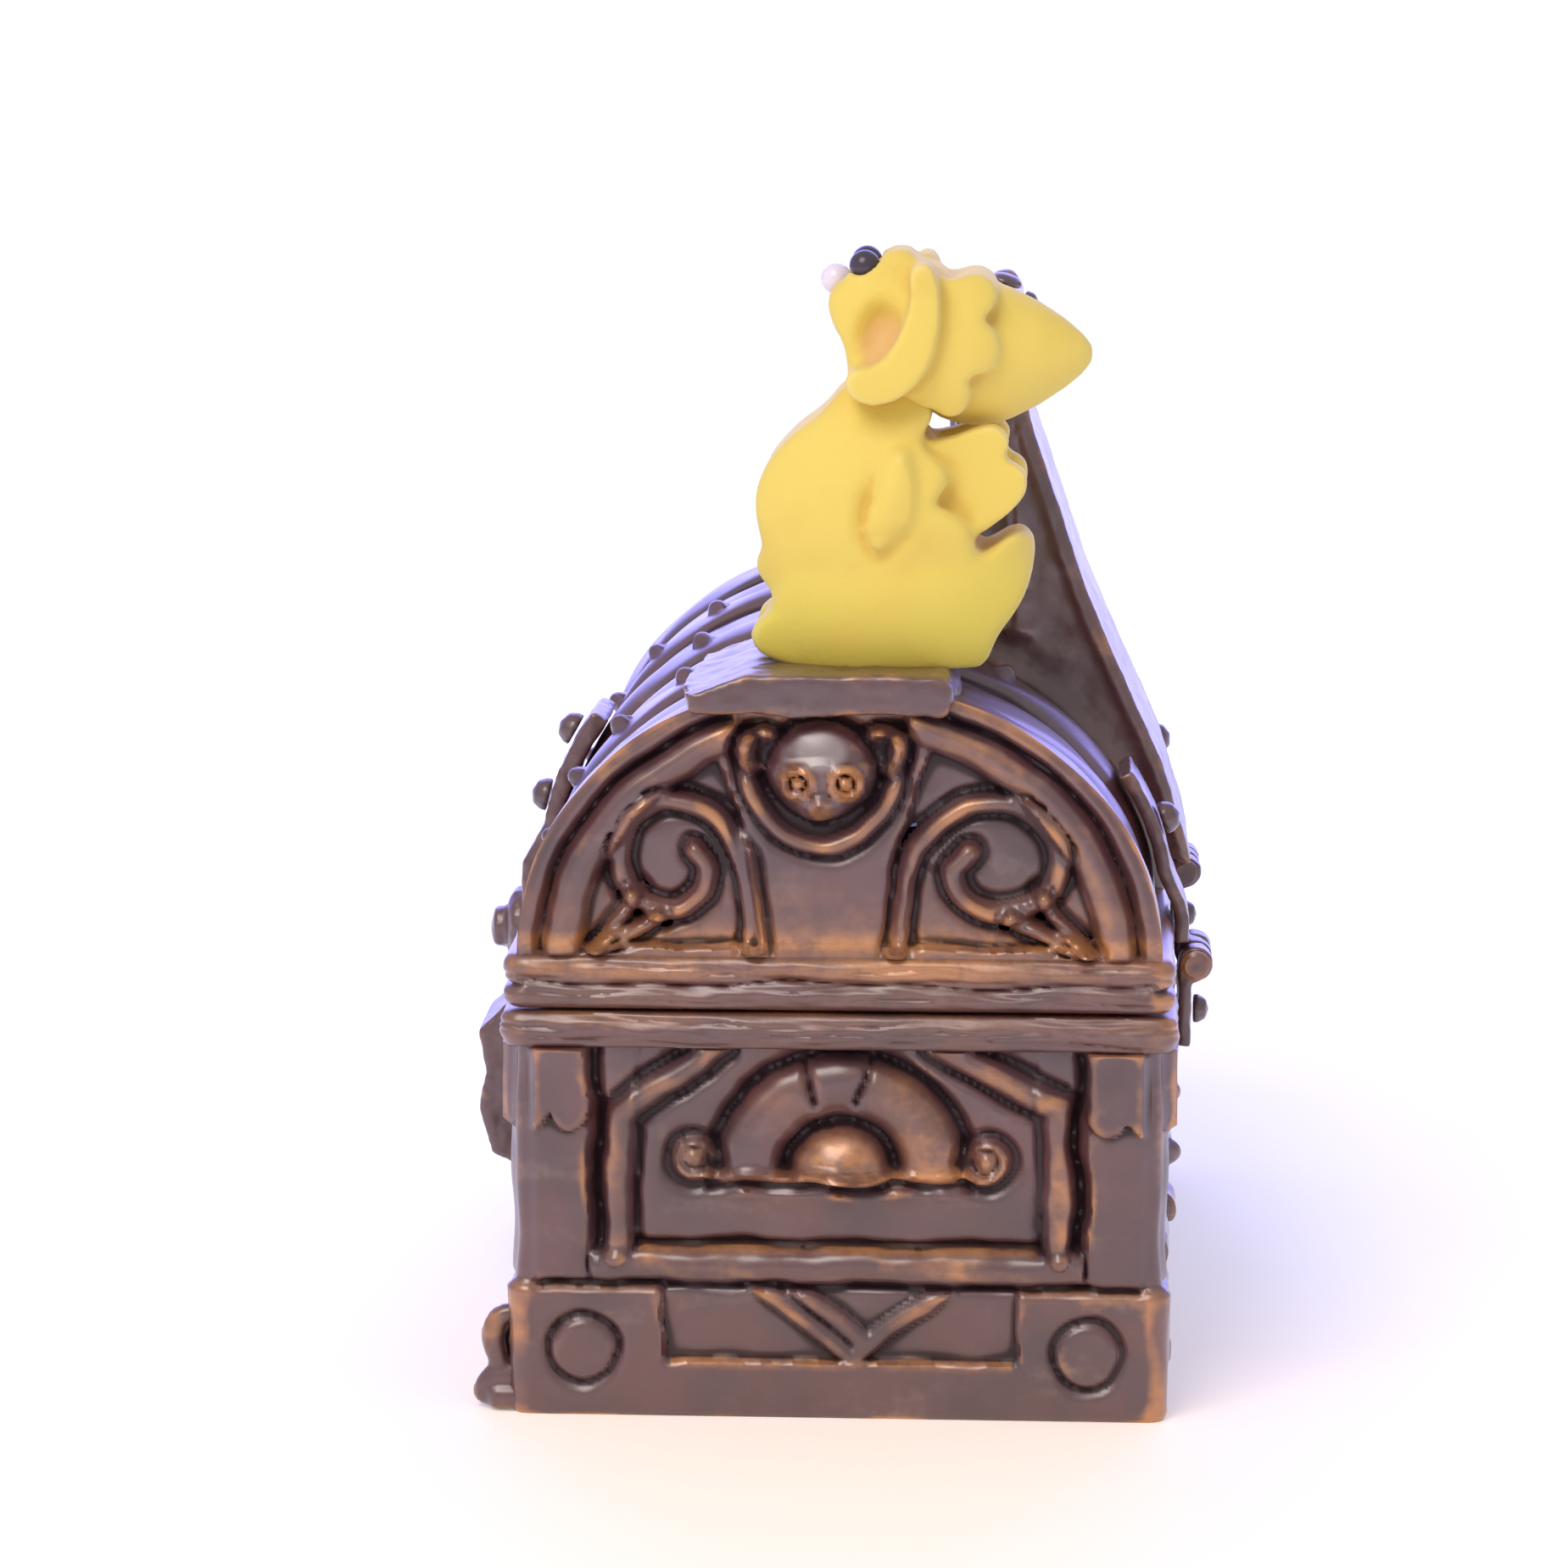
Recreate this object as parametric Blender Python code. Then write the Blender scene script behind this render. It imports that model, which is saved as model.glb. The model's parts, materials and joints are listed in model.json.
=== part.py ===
"""Bubbling chest ornament: a flooded treasure chest whose lid is lifted by caught air, with a small
winged creature and a tall back panel on the lid. Metres, +Z up, origin on the underside at its centre.
-X is the front with the lock, +X the back with the hinges, -Y the near end, +Y the airline end."""

import math

import bmesh
import bpy
from mathutils import Matrix, Vector

MM = 0.001
GAP = 0.3  # clearance between neighbouring pieces

# Box, half sizes across X and Y, and heights
BODY_HALF = (31.6, 51.6)
SKIRT_HALF = (32.5, 52.5)
RIM_HALF = (33.2, 53.2)
WALL = 3.0
SKIRT_TOP = 13.2
RIM_LOW = 37.4
BOX_TOP = 40.6
CORNER_CUT = 1.2
PLATE_THICK = 2.6
REBATE = 1.3
DRAIN_R = 1.9
POST_SIZE = 7.0
POST_TOP = 24.0

# Lid: rim moulding, then a ribbed vault
LID_LOW = 41.0
LID_RIM_TOP = 46.2
LID_RIM_HALF = (32.8, 52.8)
VAULT_HALF = 29.9
VAULT_RISE = 25.9
VAULT_POWER = 2.0
VAULT_END = 51.9
LID_WALL = 2.2
RIB_RISE = 1.4
RIB_WIDTH = 5.0
RIB_COUNT = 5
RIB_SPAN = 49.0
VAULT_STEPS = 26

# Hinge at the back of the seam
HINGE_X = 35.2
HINGE_Z = 41.2
HINGE_Y = 24.5
HINGE_HALF = 5.0
KNUCKLE_R = 1.8
KNUCKLE_BORE = 1.15
PIN_R = 0.8
ROUND = 16

# Air line and bubble catcher
STONE_X = -6.0
STONE_Z = 14.0
STONE_R = 4.6
STONE_HALF = 8.0
INLET_Z = 9.5
HOSE_R = 2.0
CUP_R = 12.5
CUP_LOW = 42.4
CUP_TOP = 58.0
CUP_WALL = 1.2

# Ornaments on the lid
FIGURE_Y = -37.5
NECK_Z = 98.0
SADDLE_TOP = 74.2
PANEL_HALF = 14.5
SCREW_R = 1.2
SCREW_HOLE_R = 1.5
SCREW_HEAD_R = 2.5
FIGURE_SCREW_X = (-2.0, 9.0)
PANEL_SCREW_X = 13.6
PANEL_SCREW_Y = 9.0

PAINTS = {
    "bronze_brown": ((0.13, 0.075, 0.05), 0.5, 0.2),
    "creature_yellow": ((0.82, 0.68, 0.16), 0.55, 0.0),
    "bead_black": ((0.02, 0.018, 0.03), 0.15, 0.0),
    "bead_lilac": ((0.72, 0.62, 0.80), 0.2, 0.0),
    "clear_plastic": ((0.75, 0.80, 0.82), 0.2, 0.0),
    "grey_plastic": ((0.22, 0.23, 0.24), 0.45, 0.0),
    "air_hose": ((0.45, 0.62, 0.60), 0.35, 0.0),
    "stone_blue": ((0.25, 0.38, 0.55), 0.9, 0.0),
    "ballast_iron": ((0.10, 0.10, 0.11), 0.6, 0.6),
    "treasure_gold": ((0.80, 0.55, 0.16), 0.35, 0.8),
    "steel": ((0.62, 0.63, 0.65), 0.3, 1.0),
}


def paint(slot):
    """The material of that slot, made once."""
    found = bpy.data.materials.get(slot)
    if found:
        return found
    colour, roughness, metallic = PAINTS[slot]
    made = bpy.data.materials.new(slot)
    made.use_nodes = True
    shader = made.node_tree.nodes["Principled BSDF"]
    shader.inputs["Base Color"].default_value = (*colour, 1.0)
    shader.inputs["Roughness"].default_value = roughness
    shader.inputs["Metallic"].default_value = metallic
    return made


def make(name, bm, slot=None, parent=None):
    """Turns a bmesh drawn in millimetres into an object in metres. One with no slot is a hidden cutter."""
    bmesh.ops.scale(bm, vec=(MM, MM, MM), verts=bm.verts)
    bmesh.ops.recalc_face_normals(bm, faces=bm.faces)
    mesh = bpy.data.meshes.new(name)
    bm.to_mesh(mesh)
    bm.free()
    mesh.shade_smooth()
    mesh.set_sharp_from_angle(angle=math.radians(35))
    obj = bpy.data.objects.new(name, mesh)
    bpy.context.scene.collection.objects.link(obj)
    if slot is None:
        obj.hide_render = True
        obj.display_type = "WIRE"
    else:
        mesh.materials.append(paint(slot))
    if parent:
        obj.parent = parent
        obj.location = -parent.location
    return obj


def boolean(obj, other, operation):
    modifier = obj.modifiers.new(f"{operation}_{other.name}", "BOOLEAN")
    modifier.operation = operation
    modifier.object = other
    return obj


def block(low, high):
    """A box between two corners."""
    bm = bmesh.new()
    size = Vector(high) - Vector(low)
    middle = (Vector(high) + Vector(low)) / 2
    bmesh.ops.create_cube(bm, size=1, matrix=Matrix.Translation(middle) @ Matrix.Diagonal((*size, 1)))
    return bm


def turned(profile, axis, base, sides=ROUND):
    """A solid of revolution: profile is (radius, along) pairs, turned about axis through base."""
    bm = bmesh.new()
    turn = Vector((0, 0, 1)).rotation_difference(Vector(axis)).to_matrix().to_4x4()
    ring = [bm.verts.new((radius, 0, along)) for radius, along in profile]
    edges = [bm.edges.new(pair) for pair in zip(ring, ring[1:])]
    if profile[0][0] > 0 and profile[-1][0] > 0:
        edges.append(bm.edges.new((ring[-1], ring[0])))
    bmesh.ops.spin(
        bm, geom=ring + edges, cent=(0, 0, 0), axis=(0, 0, 1), angle=math.tau, steps=sides, use_merge=True
    )
    bmesh.ops.remove_doubles(bm, verts=bm.verts, dist=1e-4)
    bmesh.ops.transform(bm, matrix=Matrix.Translation(base) @ turn, verts=bm.verts)
    return bm


def rod(radius, start, end, sides=ROUND):
    """A plain round bar from start to end."""
    run = Vector(end) - Vector(start)
    return turned([(0, 0), (radius, 0), (radius, run.length), (0, run.length)], run, start, sides)


def prism(outline, low_y, high_y):
    """An outline of (x, z) points, extruded along Y."""
    bm = bmesh.new()
    face = bm.faces.new([bm.verts.new((x, low_y, z)) for x, z in outline])
    grown = bmesh.ops.extrude_face_region(bm, geom=[face])["geom"]
    moved = [v for v in grown if isinstance(v, bmesh.types.BMVert)]
    bmesh.ops.translate(bm, vec=(0, high_y - low_y, 0), verts=moved)
    return bm


def rounded_rectangle(half_x, half_y, cut):
    quarter = [(half_x - cut, half_y), (half_x, half_y - cut)]
    right = [(x, -y) for x, y in quarter] + quarter[::-1]
    return right + [(-x, y) for x, y in right[::-1]]


def stack(levels, closed):
    """Rectangles of (half_x, half_y, z) skinned in order. A closed stack joins its last to its first."""
    bm = bmesh.new()
    rings = []
    for half_x, half_y, z in levels:
        rings.append([bm.verts.new((x, y, z)) for x, y in rounded_rectangle(half_x, half_y, CORNER_CUT)])
    pairs = list(zip(rings, rings[1:]))
    if closed:
        pairs.append((rings[-1], rings[0]))
    else:
        bm.faces.new(rings[0])
        bm.faces.new(rings[-1])
    for lower, upper in pairs:
        for i in range(len(lower)):
            j = (i + 1) % len(lower)
            bm.faces.new((lower[i], lower[j], upper[j], upper[i]))
    return bm


def vault_point(angle, grow=0.0):
    """A point (x, z) of the vault's outline, grown outwards. Angle 0 is at the back, pi at the front."""
    power = 2 / VAULT_POWER
    across, up = math.cos(angle), max(math.sin(angle), 0.0)
    x = math.copysign(abs(across) ** power, across) * (VAULT_HALF + grow)
    return x, LID_RIM_TOP + up**power * (VAULT_RISE + grow)


def vault_height(x, grow=0.0):
    """Height of the vault's outline over x."""
    share = min(abs(x) / (VAULT_HALF + grow), 1.0)
    return LID_RIM_TOP + (VAULT_RISE + grow) * (1 - share**VAULT_POWER) ** (1 / VAULT_POWER)


def vault_section(grow, foot_z):
    arch = [vault_point(math.pi * i / VAULT_STEPS, grow) for i in range(VAULT_STEPS + 1)]
    return [(arch[0][0], foot_z), *arch, (arch[-1][0], foot_z)]


def vault_solid(stations, foot_z):
    """The vault lofted along Y through (y, grow) stations."""
    bm = bmesh.new()
    rings = [[bm.verts.new((x, y, z)) for x, z in vault_section(grow, foot_z)] for y, grow in stations]
    bm.faces.new(rings[0])
    bm.faces.new(rings[-1])
    for near, far in zip(rings, rings[1:]):
        for i in range(len(near)):
            j = (i + 1) % len(near)
            bm.faces.new((near[i], near[j], far[j], far[i]))
    return bm


def on_vault(angle, y, grow):
    """A place on the grown vault and the direction straight out of it."""
    x, z = vault_point(angle, grow)
    ahead_x, ahead_z = vault_point(angle + 0.02, grow)
    return Vector((x, y, z)), Vector((ahead_z - z, 0, x - ahead_x)).normalized()


def rib_centres():
    return [-RIB_SPAN + 2 * RIB_SPAN * i / (RIB_COUNT - 1) for i in range(RIB_COUNT)]


# --- Box ---


def box_shell():
    body_x, body_y = BODY_HALF
    inner = (body_x - WALL, body_y - WALL)
    rebate = (inner[0] + REBATE, inner[1] + REBATE)
    plate_top = PLATE_THICK + GAP
    levels = [
        (*SKIRT_HALF, 0),
        (*SKIRT_HALF, SKIRT_TOP - 0.8),
        (*BODY_HALF, SKIRT_TOP),
        (*BODY_HALF, RIM_LOW - 0.8),
        (*RIM_HALF, RIM_LOW + 0.4),
        (*RIM_HALF, BOX_TOP),
        (*inner, BOX_TOP),
        (*inner, plate_top),
        (*rebate, plate_top),
        (*rebate, 0),
    ]
    shell = make("box_shell", stack(levels, closed=True), "bronze_brown")
    for i, (side_x, side_y) in enumerate(corners()):
        outer = (side_x * (inner[0] + 1), side_y * (inner[1] + 1))
        near = (side_x * (inner[0] - POST_SIZE), side_y * (inner[1] - POST_SIZE))
        low = (min(outer[0], near[0]), min(outer[1], near[1]), plate_top)
        high = (max(outer[0], near[0]), max(outer[1], near[1]), POST_TOP)
        boolean(shell, make(f"post_{i}", block(low, high)), "UNION")
    for i, (x, y) in enumerate(base_screw_places()):
        boolean(shell, make(f"post_hole_{i}", rod(SCREW_HOLE_R, (x, y, -1), (x, y, 15), 12)), "DIFFERENCE")
    wall = (STONE_X, inner[1] - 1, INLET_Z), (STONE_X, SKIRT_HALF[1] + 1, INLET_Z)
    return boolean(shell, make("inlet_hole", rod(3.3, *wall)), "DIFFERENCE")


def corners():
    return [(sx, sy) for sy in (-1, 1) for sx in (-1, 1)]


def base_screw_places():
    reach_x = BODY_HALF[0] - WALL - POST_SIZE / 2
    reach_y = BODY_HALF[1] - WALL - POST_SIZE / 2
    return [(sx * reach_x, sy * reach_y) for sx, sy in corners()]


def base_plate():
    half = (BODY_HALF[0] - WALL + REBATE - GAP, BODY_HALF[1] - WALL + REBATE - GAP)
    plate = make("base_plate", stack([(*half, 0), (*half, PLATE_THICK)], closed=False), "bronze_brown")
    sink = [(0, -1), (SCREW_HEAD_R + GAP, -1), (SCREW_HEAD_R + GAP, 1.3), (SCREW_HOLE_R, 2.0),
            (SCREW_HOLE_R, PLATE_THICK + 1), (0, PLATE_THICK + 1)]
    for i, (x, y) in enumerate(base_screw_places()):
        boolean(plate, make(f"sink_{i}", turned(sink, (0, 0, 1), (x, y, 0), 12)), "DIFFERENCE")
    for i, y in enumerate((-24.0, 24.0)):
        drain = rod(DRAIN_R, (STONE_X, y, -1), (STONE_X, y, PLATE_THICK + 1))
        boolean(plate, make(f"drain_{i}", drain), "DIFFERENCE")
    return plate


def screw(name, place, length, up=1, parent=None):
    """A pan-head screw whose head's outer face is at place, pointing up or down."""
    head = [(0, 0), (SCREW_HEAD_R, 0), (SCREW_HEAD_R, 0.9)]
    profile = head + [(SCREW_R, 1.6), (SCREW_R, length - 1), (0, length)]
    return make(name, turned(profile, (0, 0, up), place, 12), "steel", parent)


def base_screws():
    for i, (x, y) in enumerate(base_screw_places()):
        screw(f"base_screw_{i + 1}", (x, y, 0.1), 13.0)


def ballast():
    top = PLATE_THICK + GAP + 6.2
    half_y = 36.0
    spans = {"ballast_bar_front": (-27.4, STONE_X - 6.4), "ballast_bar_back": (STONE_X + 6.4, 27.4)}
    for name, (low_x, high_x) in spans.items():
        bm = block((low_x, -half_y, PLATE_THICK + GAP), (high_x, half_y, top))
        bmesh.ops.bevel(bm, geom=bm.edges[:], offset=0.8, affect="EDGES", segments=1, profile=0.5)
        make(name, bm, "ballast_iron")


def stone_cradle():
    """The saddle that holds the air stone between the ballast bars."""
    low_z = PLATE_THICK + GAP
    body = block((STONE_X - 5.8, -4.5, low_z), (STONE_X + 5.8, 4.5, STONE_Z))
    cradle = make("stone_cradle", body, "grey_plastic")
    notch = rod(STONE_R + GAP, (STONE_X, -6, STONE_Z), (STONE_X, 6, STONE_Z), 24)
    return boolean(cradle, make("cradle_notch", notch), "DIFFERENCE")


def air_stone():
    nipple, body = 3.0, 2 * STONE_HALF
    profile = [(0, 0), (STONE_R - 0.8, 0), (STONE_R, 0.8), (STONE_R, body - 0.8), (STONE_R - 0.8, body),
               (1.4, body), (1.4, body + nipple), (0, body + nipple)]
    return make("air_stone", turned(profile, (0, 1, 0), (STONE_X, -STONE_HALF, STONE_Z), 20), "stone_blue")


def inlet_barb():
    """Hollow tube connector through the end wall, barbed outside and plain inside."""
    wall_out = SKIRT_HALF[1]
    start = BODY_HALF[1] - WALL - 6.5
    flange = wall_out + GAP - start
    stub = [(1.1, 0), (1.9, 0), (1.9, 1.5), (2.9, 2.0), (2.9, flange)]
    stop = [(4.2, flange), (4.2, flange + 1.6), (1.7, flange + 1.6)]
    barbs = [(1.7, 3.4), (2.3, 3.6), (1.7, 5.4), (2.3, 5.6), (1.6, 7.6), (1.1, 7.6)]
    profile = stub + stop + [(radius, flange + along) for radius, along in barbs]
    return make("air_inlet_barb", turned(profile, (0, 1, 0), (STONE_X, start, INLET_Z)), "grey_plastic")


def inlet_nut():
    inner_wall = BODY_HALF[1] - WALL
    bore = (2.9 + GAP) / math.cos(math.pi / 6)
    profile = [(bore, 0), (5.4, 0), (5.4, 2.2), (bore, 2.2)]
    place = (STONE_X, inner_wall - GAP - 2.2, INLET_Z)
    return make("inlet_nut", turned(profile, (0, 1, 0), place, 6), "grey_plastic")


def air_hose():
    """The soft tube from the inlet's stub to the stone's nipple, on one smooth curve."""
    start = Vector((STONE_X, BODY_HALF[1] - WALL - 6.5 - GAP, INLET_Z))
    end = Vector((STONE_X, STONE_HALF + 3.0 + GAP, STONE_Z))
    lead = Vector((0, -12, 0))
    points = []
    steps = 14
    for i in range(steps + 1):
        t = i / steps
        a, b, c, d = start, start + lead, end - lead, end
        points.append((1 - t) ** 3 * a + 3 * t * (1 - t) ** 2 * b + 3 * t * t * (1 - t) * c + t**3 * d)
    curve = bpy.data.curves.new("air_hose", "CURVE")
    curve.dimensions = "3D"
    curve.bevel_depth = HOSE_R * MM
    curve.bevel_resolution = 2
    curve.use_fill_caps = True
    spline = curve.splines.new("POLY")
    spline.points.add(len(points) - 1)
    for point, place in zip(spline.points, points):
        point.co = (*(place * MM), 1)
    curve.materials.append(paint("air_hose"))
    obj = bpy.data.objects.new("air_hose", curve)
    bpy.context.scene.collection.objects.link(obj)
    return obj


def treasure_deck():
    """The shelf that hides the air line, with the opening that lets bubbles rise."""
    half = (BODY_HALF[0] - WALL - GAP, BODY_HALF[1] - WALL - GAP)
    low = POST_TOP + GAP
    deck = make("treasure_deck", stack([(*half, low), (*half, low + 1.8)], closed=False), "bronze_brown")
    opening = rod(13.0, (STONE_X, 0, low - 1), (STONE_X, 0, low + 3), 28)
    return boolean(deck, make("deck_opening", opening), "DIFFERENCE")


def coin_heaps():
    """Two low mounds of coins on the deck, one each side of the opening."""
    deck_top = POST_TOP + GAP + 1.8
    for name, side in (("coin_heap_near", -1), ("coin_heap_far", 1)):
        bm = bmesh.new()
        shape = Matrix.Translation((0, side * 31.5, deck_top)) @ Matrix.Diagonal((25, 14.5, 11, 1))
        bmesh.ops.create_uvsphere(bm, u_segments=20, v_segments=12, radius=1, matrix=shape)
        cut = bmesh.ops.bisect_plane(
            bm, geom=bm.verts[:] + bm.edges[:] + bm.faces[:],
            plane_co=(0, 0, deck_top + GAP), plane_no=(0, 0, 1), clear_inner=True,
        )["geom_cut"]
        bmesh.ops.edgeloop_fill(bm, edges=[e for e in cut if isinstance(e, bmesh.types.BMEdge)])
        make(name, bm, "treasure_gold")


def lock_case():
    """The lock box on the front, with a keyhole sunk into it."""
    front = -BODY_HALF[0] - GAP
    outline = [(front, 13.6), (front, 31.4), (front - 5.2, 31.4), (front - 8.4, 28.5), (front - 7.6, 24.0),
               (front - 8.4, 20.0), (front - 7.0, 15.0), (front - 4.0, 13.6)]
    lock = make("lock_case", prism(outline, -7.0, 7.0), "bronze_brown")
    eye = rod(1.6, (front - 10, 0, 25.0), (front - 5.5, 0, 25.0))
    slot = block((front - 10, -0.7, 19.5), (front - 5.5, 0.7, 25.0))
    boolean(lock, make("keyhole_eye", eye), "DIFFERENCE")
    return boolean(lock, make("keyhole_slot", slot), "DIFFERENCE")


def strap_outline(foot_x, foot_z, angles, thick):
    """A strap standing at foot_x up to the lid's rim, then lying over the vault's ribs at those angles."""
    side = math.copysign(1, foot_x)
    inner = [(foot_x, foot_z), (foot_x, LID_RIM_TOP)]
    outer = [(foot_x + side * thick, foot_z), (foot_x + side * thick, LID_RIM_TOP)]
    inner += [vault_point(angle, RIB_RISE + 0.4) for angle in angles]
    outer += [vault_point(angle, RIB_RISE + 0.4 + thick) for angle in angles]
    return inner + outer[::-1]


def hinge_leaf_lower(number, y):
    """The leaf on the box, with the two outer knuckles."""
    leaf_x = RIM_HALF[0] + GAP
    plate = block((leaf_x, y - HINGE_HALF, 32.6), (leaf_x + 1.3, y + HINGE_HALF, HINGE_Z - KNUCKLE_R - GAP))
    leaf = make(f"hinge_leaf_lower_{number}", plate, "bronze_brown")
    for i, (low, high) in enumerate(((-HINGE_HALF, -1.8), (1.8, HINGE_HALF))):
        lug = block((leaf_x, y + low, 36), (leaf_x + 1.3, y + high, HINGE_Z))
        knuckle = rod(KNUCKLE_R, (HINGE_X, y + low, HINGE_Z), (HINGE_X, y + high, HINGE_Z))
        boolean(leaf, make(f"lug_low_{number}_{i}", lug), "UNION")
        boolean(leaf, make(f"knuckle_low_{number}_{i}", knuckle), "UNION")
    bore = rod(KNUCKLE_BORE, (HINGE_X, y - 8, HINGE_Z), (HINGE_X, y + 8, HINGE_Z))
    return boolean(leaf, make(f"bore_low_{number}", bore), "DIFFERENCE")


def hinge_leaf_upper(number, y, lid):
    """The strap bent over the back of the vault, with the middle knuckle."""
    leaf_x = LID_RIM_HALF[0] + GAP
    low_z = HINGE_Z + KNUCKLE_R + GAP
    outline = strap_outline(leaf_x, low_z, [math.pi * (0.05 + 0.03 * i) for i in range(5)], 1.4)
    plate = prism(outline, y - HINGE_HALF, y + HINGE_HALF)
    leaf = make(f"hinge_leaf_upper_{number}", plate, "bronze_brown", lid)
    lug = block((leaf_x, y - 1.5, HINGE_Z), (leaf_x + 1.4, y + 1.5, low_z + 1))
    knuckle = rod(KNUCKLE_R, (HINGE_X, y - 1.5, HINGE_Z), (HINGE_X, y + 1.5, HINGE_Z))
    bore = rod(KNUCKLE_BORE, (HINGE_X, y - 8, HINGE_Z), (HINGE_X, y + 8, HINGE_Z))
    boolean(leaf, make(f"lug_up_{number}", lug), "UNION")
    boolean(leaf, make(f"knuckle_up_{number}", knuckle), "UNION")
    return boolean(leaf, make(f"bore_up_{number}", bore), "DIFFERENCE")


def hinge_pin(number, y):
    head, length = 0.8, 2 * HINGE_HALF + 2 * GAP
    profile = [(0, -head), (1.5, -head), (1.5, 0), (PIN_R, 0), (PIN_R, length), (1.5, length),
               (1.5, length + head), (0, length + head)]
    start = (HINGE_X, y - HINGE_HALF - GAP, HINGE_Z)
    return make(f"hinge_pin_{number}", turned(profile, (0, 1, 0), start), "steel")


def rivet(name, place, direction, radius, parent=None):
    """A domed stud standing GAP off the surface under it."""
    shape = [(0, 0), (1, 0), (1, 0.35), (0.72, 0.85), (0, 1.1)]
    profile = [(radius * across, radius * along) for across, along in shape]
    start = Vector(place) + Vector(direction).normalized() * GAP
    return make(name, turned(profile, direction, start, 12), "bronze_brown", parent)


# --- Lid ---


def lid_shell(lid):
    stations = [(-VAULT_END, RIB_RISE)]
    for centre in rib_centres():
        low, high = centre - RIB_WIDTH / 2, centre + RIB_WIDTH / 2
        if low > -VAULT_END + 1:
            stations += [(low, 0.0), (low + 0.2, RIB_RISE)]
        if high < VAULT_END - 1:
            stations += [(high - 0.2, RIB_RISE), (high, 0.0)]
    stations.append((VAULT_END, RIB_RISE))
    rim_x, rim_y = LID_RIM_HALF
    rim = stack(
        [(rim_x, rim_y, LID_LOW), (rim_x, rim_y, LID_LOW + 2.2), (rim_x - 0.9, rim_y - 0.6, LID_RIM_TOP)],
        closed=False,
    )
    shell = make("lid_shell", rim, "bronze_brown", lid)
    boolean(shell, make("vault_outer", vault_solid(stations, LID_RIM_TOP - 2)), "UNION")
    inner_end, inner_grow = VAULT_END - LID_WALL, RIB_RISE - LID_WALL
    hollow = vault_solid([(-inner_end, inner_grow), (inner_end, inner_grow)], LID_LOW - 3)
    boolean(shell, make("vault_inner", hollow), "DIFFERENCE")
    for i, (x, y) in enumerate(lid_screw_places()):
        hole = rod(SCREW_HOLE_R, (x, y, 60), (x, y, 80), 12)
        boolean(shell, make(f"lid_hole_{i}", hole), "DIFFERENCE")
    return shell


def lid_screw_places():
    figure = [(x, FIGURE_Y) for x in FIGURE_SCREW_X]
    return figure + [(PANEL_SCREW_X, side * PANEL_SCREW_Y) for side in (-1, 1)]


def head_height(x):
    """Where a screw head's rim would meet the inside of the vault."""
    return vault_height(abs(x) + SCREW_HEAD_R, RIB_RISE - LID_WALL) - 2 * GAP


def lid_screws(lid):
    names = ["figure_screw_1", "figure_screw_2", "panel_screw_1", "panel_screw_2"]
    for name, (x, y) in zip(names, lid_screw_places()):
        low = head_height(x) - 0.9
        screw(name, (x, y, low), 80.5 - low, 1, lid)


def saddle_plate(lid):
    """The shaped seat over the crown of the near end, with a lip down its face."""
    grow = RIB_RISE + GAP
    low_x, high_x = -14.6, 10.9
    steps = 12
    bottom = []
    for i in range(steps + 1):
        x = low_x + (high_x - low_x) * i / steps
        bottom.append((x, vault_height(x, grow)))
    top = [(high_x, SADDLE_TOP - 1.2), (high_x - 1.5, SADDLE_TOP), (low_x + 3, SADDLE_TOP)]
    top.append((low_x, SADDLE_TOP - 1.6))
    plate = make("saddle_plate", prism(bottom + top, -VAULT_END - GAP, -26.5), "bronze_brown", lid)
    lip = [(low_x + 0.2, 70.2), (high_x - 0.2, 70.2), *top]
    boolean(plate, make("saddle_lip", prism(lip, -VAULT_END - 2.0, -VAULT_END - GAP + 0.05)), "UNION")
    for i, x in enumerate(FIGURE_SCREW_X):
        hole = rod(SCREW_HOLE_R, (x, FIGURE_Y, 60), (x, FIGURE_Y, 80), 12)
        boolean(plate, make(f"saddle_hole_{i}", hole), "DIFFERENCE")
    return plate


def back_panel(lid):
    """The tall hollow panel behind the creature, standing on the back of the vault."""
    grow = RIB_RISE + GAP
    front_x = 10.3
    flare = [(35.0, 48.4), (34.7, 50.3), (31.9, 59.2), (27.9, 68.0), (24.0, 76.9), (21.1, 85.6),
             (17.9, 94.8)]
    crest = [(16.9, 106.6), (13.2, 107.6), (front_x, 105.5)]
    steps = 12
    foot_angle = 0.045 * math.pi
    top_angle = math.acos((front_x / (VAULT_HALF + grow)) ** (VAULT_POWER / 2))
    under = []
    for i in range(steps + 1):
        angle = top_angle + (foot_angle - top_angle) * i / steps
        under.append(vault_point(angle, grow))
    panel = make("back_panel", prism(under + flare + crest, -PANEL_HALF, PANEL_HALF), "bronze_brown", lid)
    wall = 2.2
    hollow = [(front_x + wall, 55.0), (front_x + wall, 100.0), (15.4, 100.0), (18.6, 85.0), (21.6, 76.4),
              (25.4, 67.4), (29.2, 58.6), (30.4, 54.8)]
    boolean(panel, make("panel_hollow", prism(hollow, -PANEL_HALF + 6, PANEL_HALF - 6)), "DIFFERENCE")
    for i, side in enumerate((-1, 1)):
        y = side * PANEL_SCREW_Y
        hole = rod(SCREW_HOLE_R, (PANEL_SCREW_X, y, 60), (PANEL_SCREW_X, y, 81.5), 12)
        boolean(panel, make(f"panel_hole_{i}", hole), "DIFFERENCE")
    return panel


def panel_trim(lid):
    for i, side in enumerate((-1, 1)):
        y = side * 11.5
        rivet(f"panel_rivet_{i + 1}", (17.0, y, 104.6), (1, 0, 0.1), 1.2, lid)
    profile = [(0, 0), (1.8, 0), (1.8, 0.6), (1.1, 1.1), (0, 1.3)]
    make("panel_finial", turned(profile, (0.26, 0, 0.966), (15.13, 0, 107.4), 14), "bronze_brown", lid)


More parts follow.
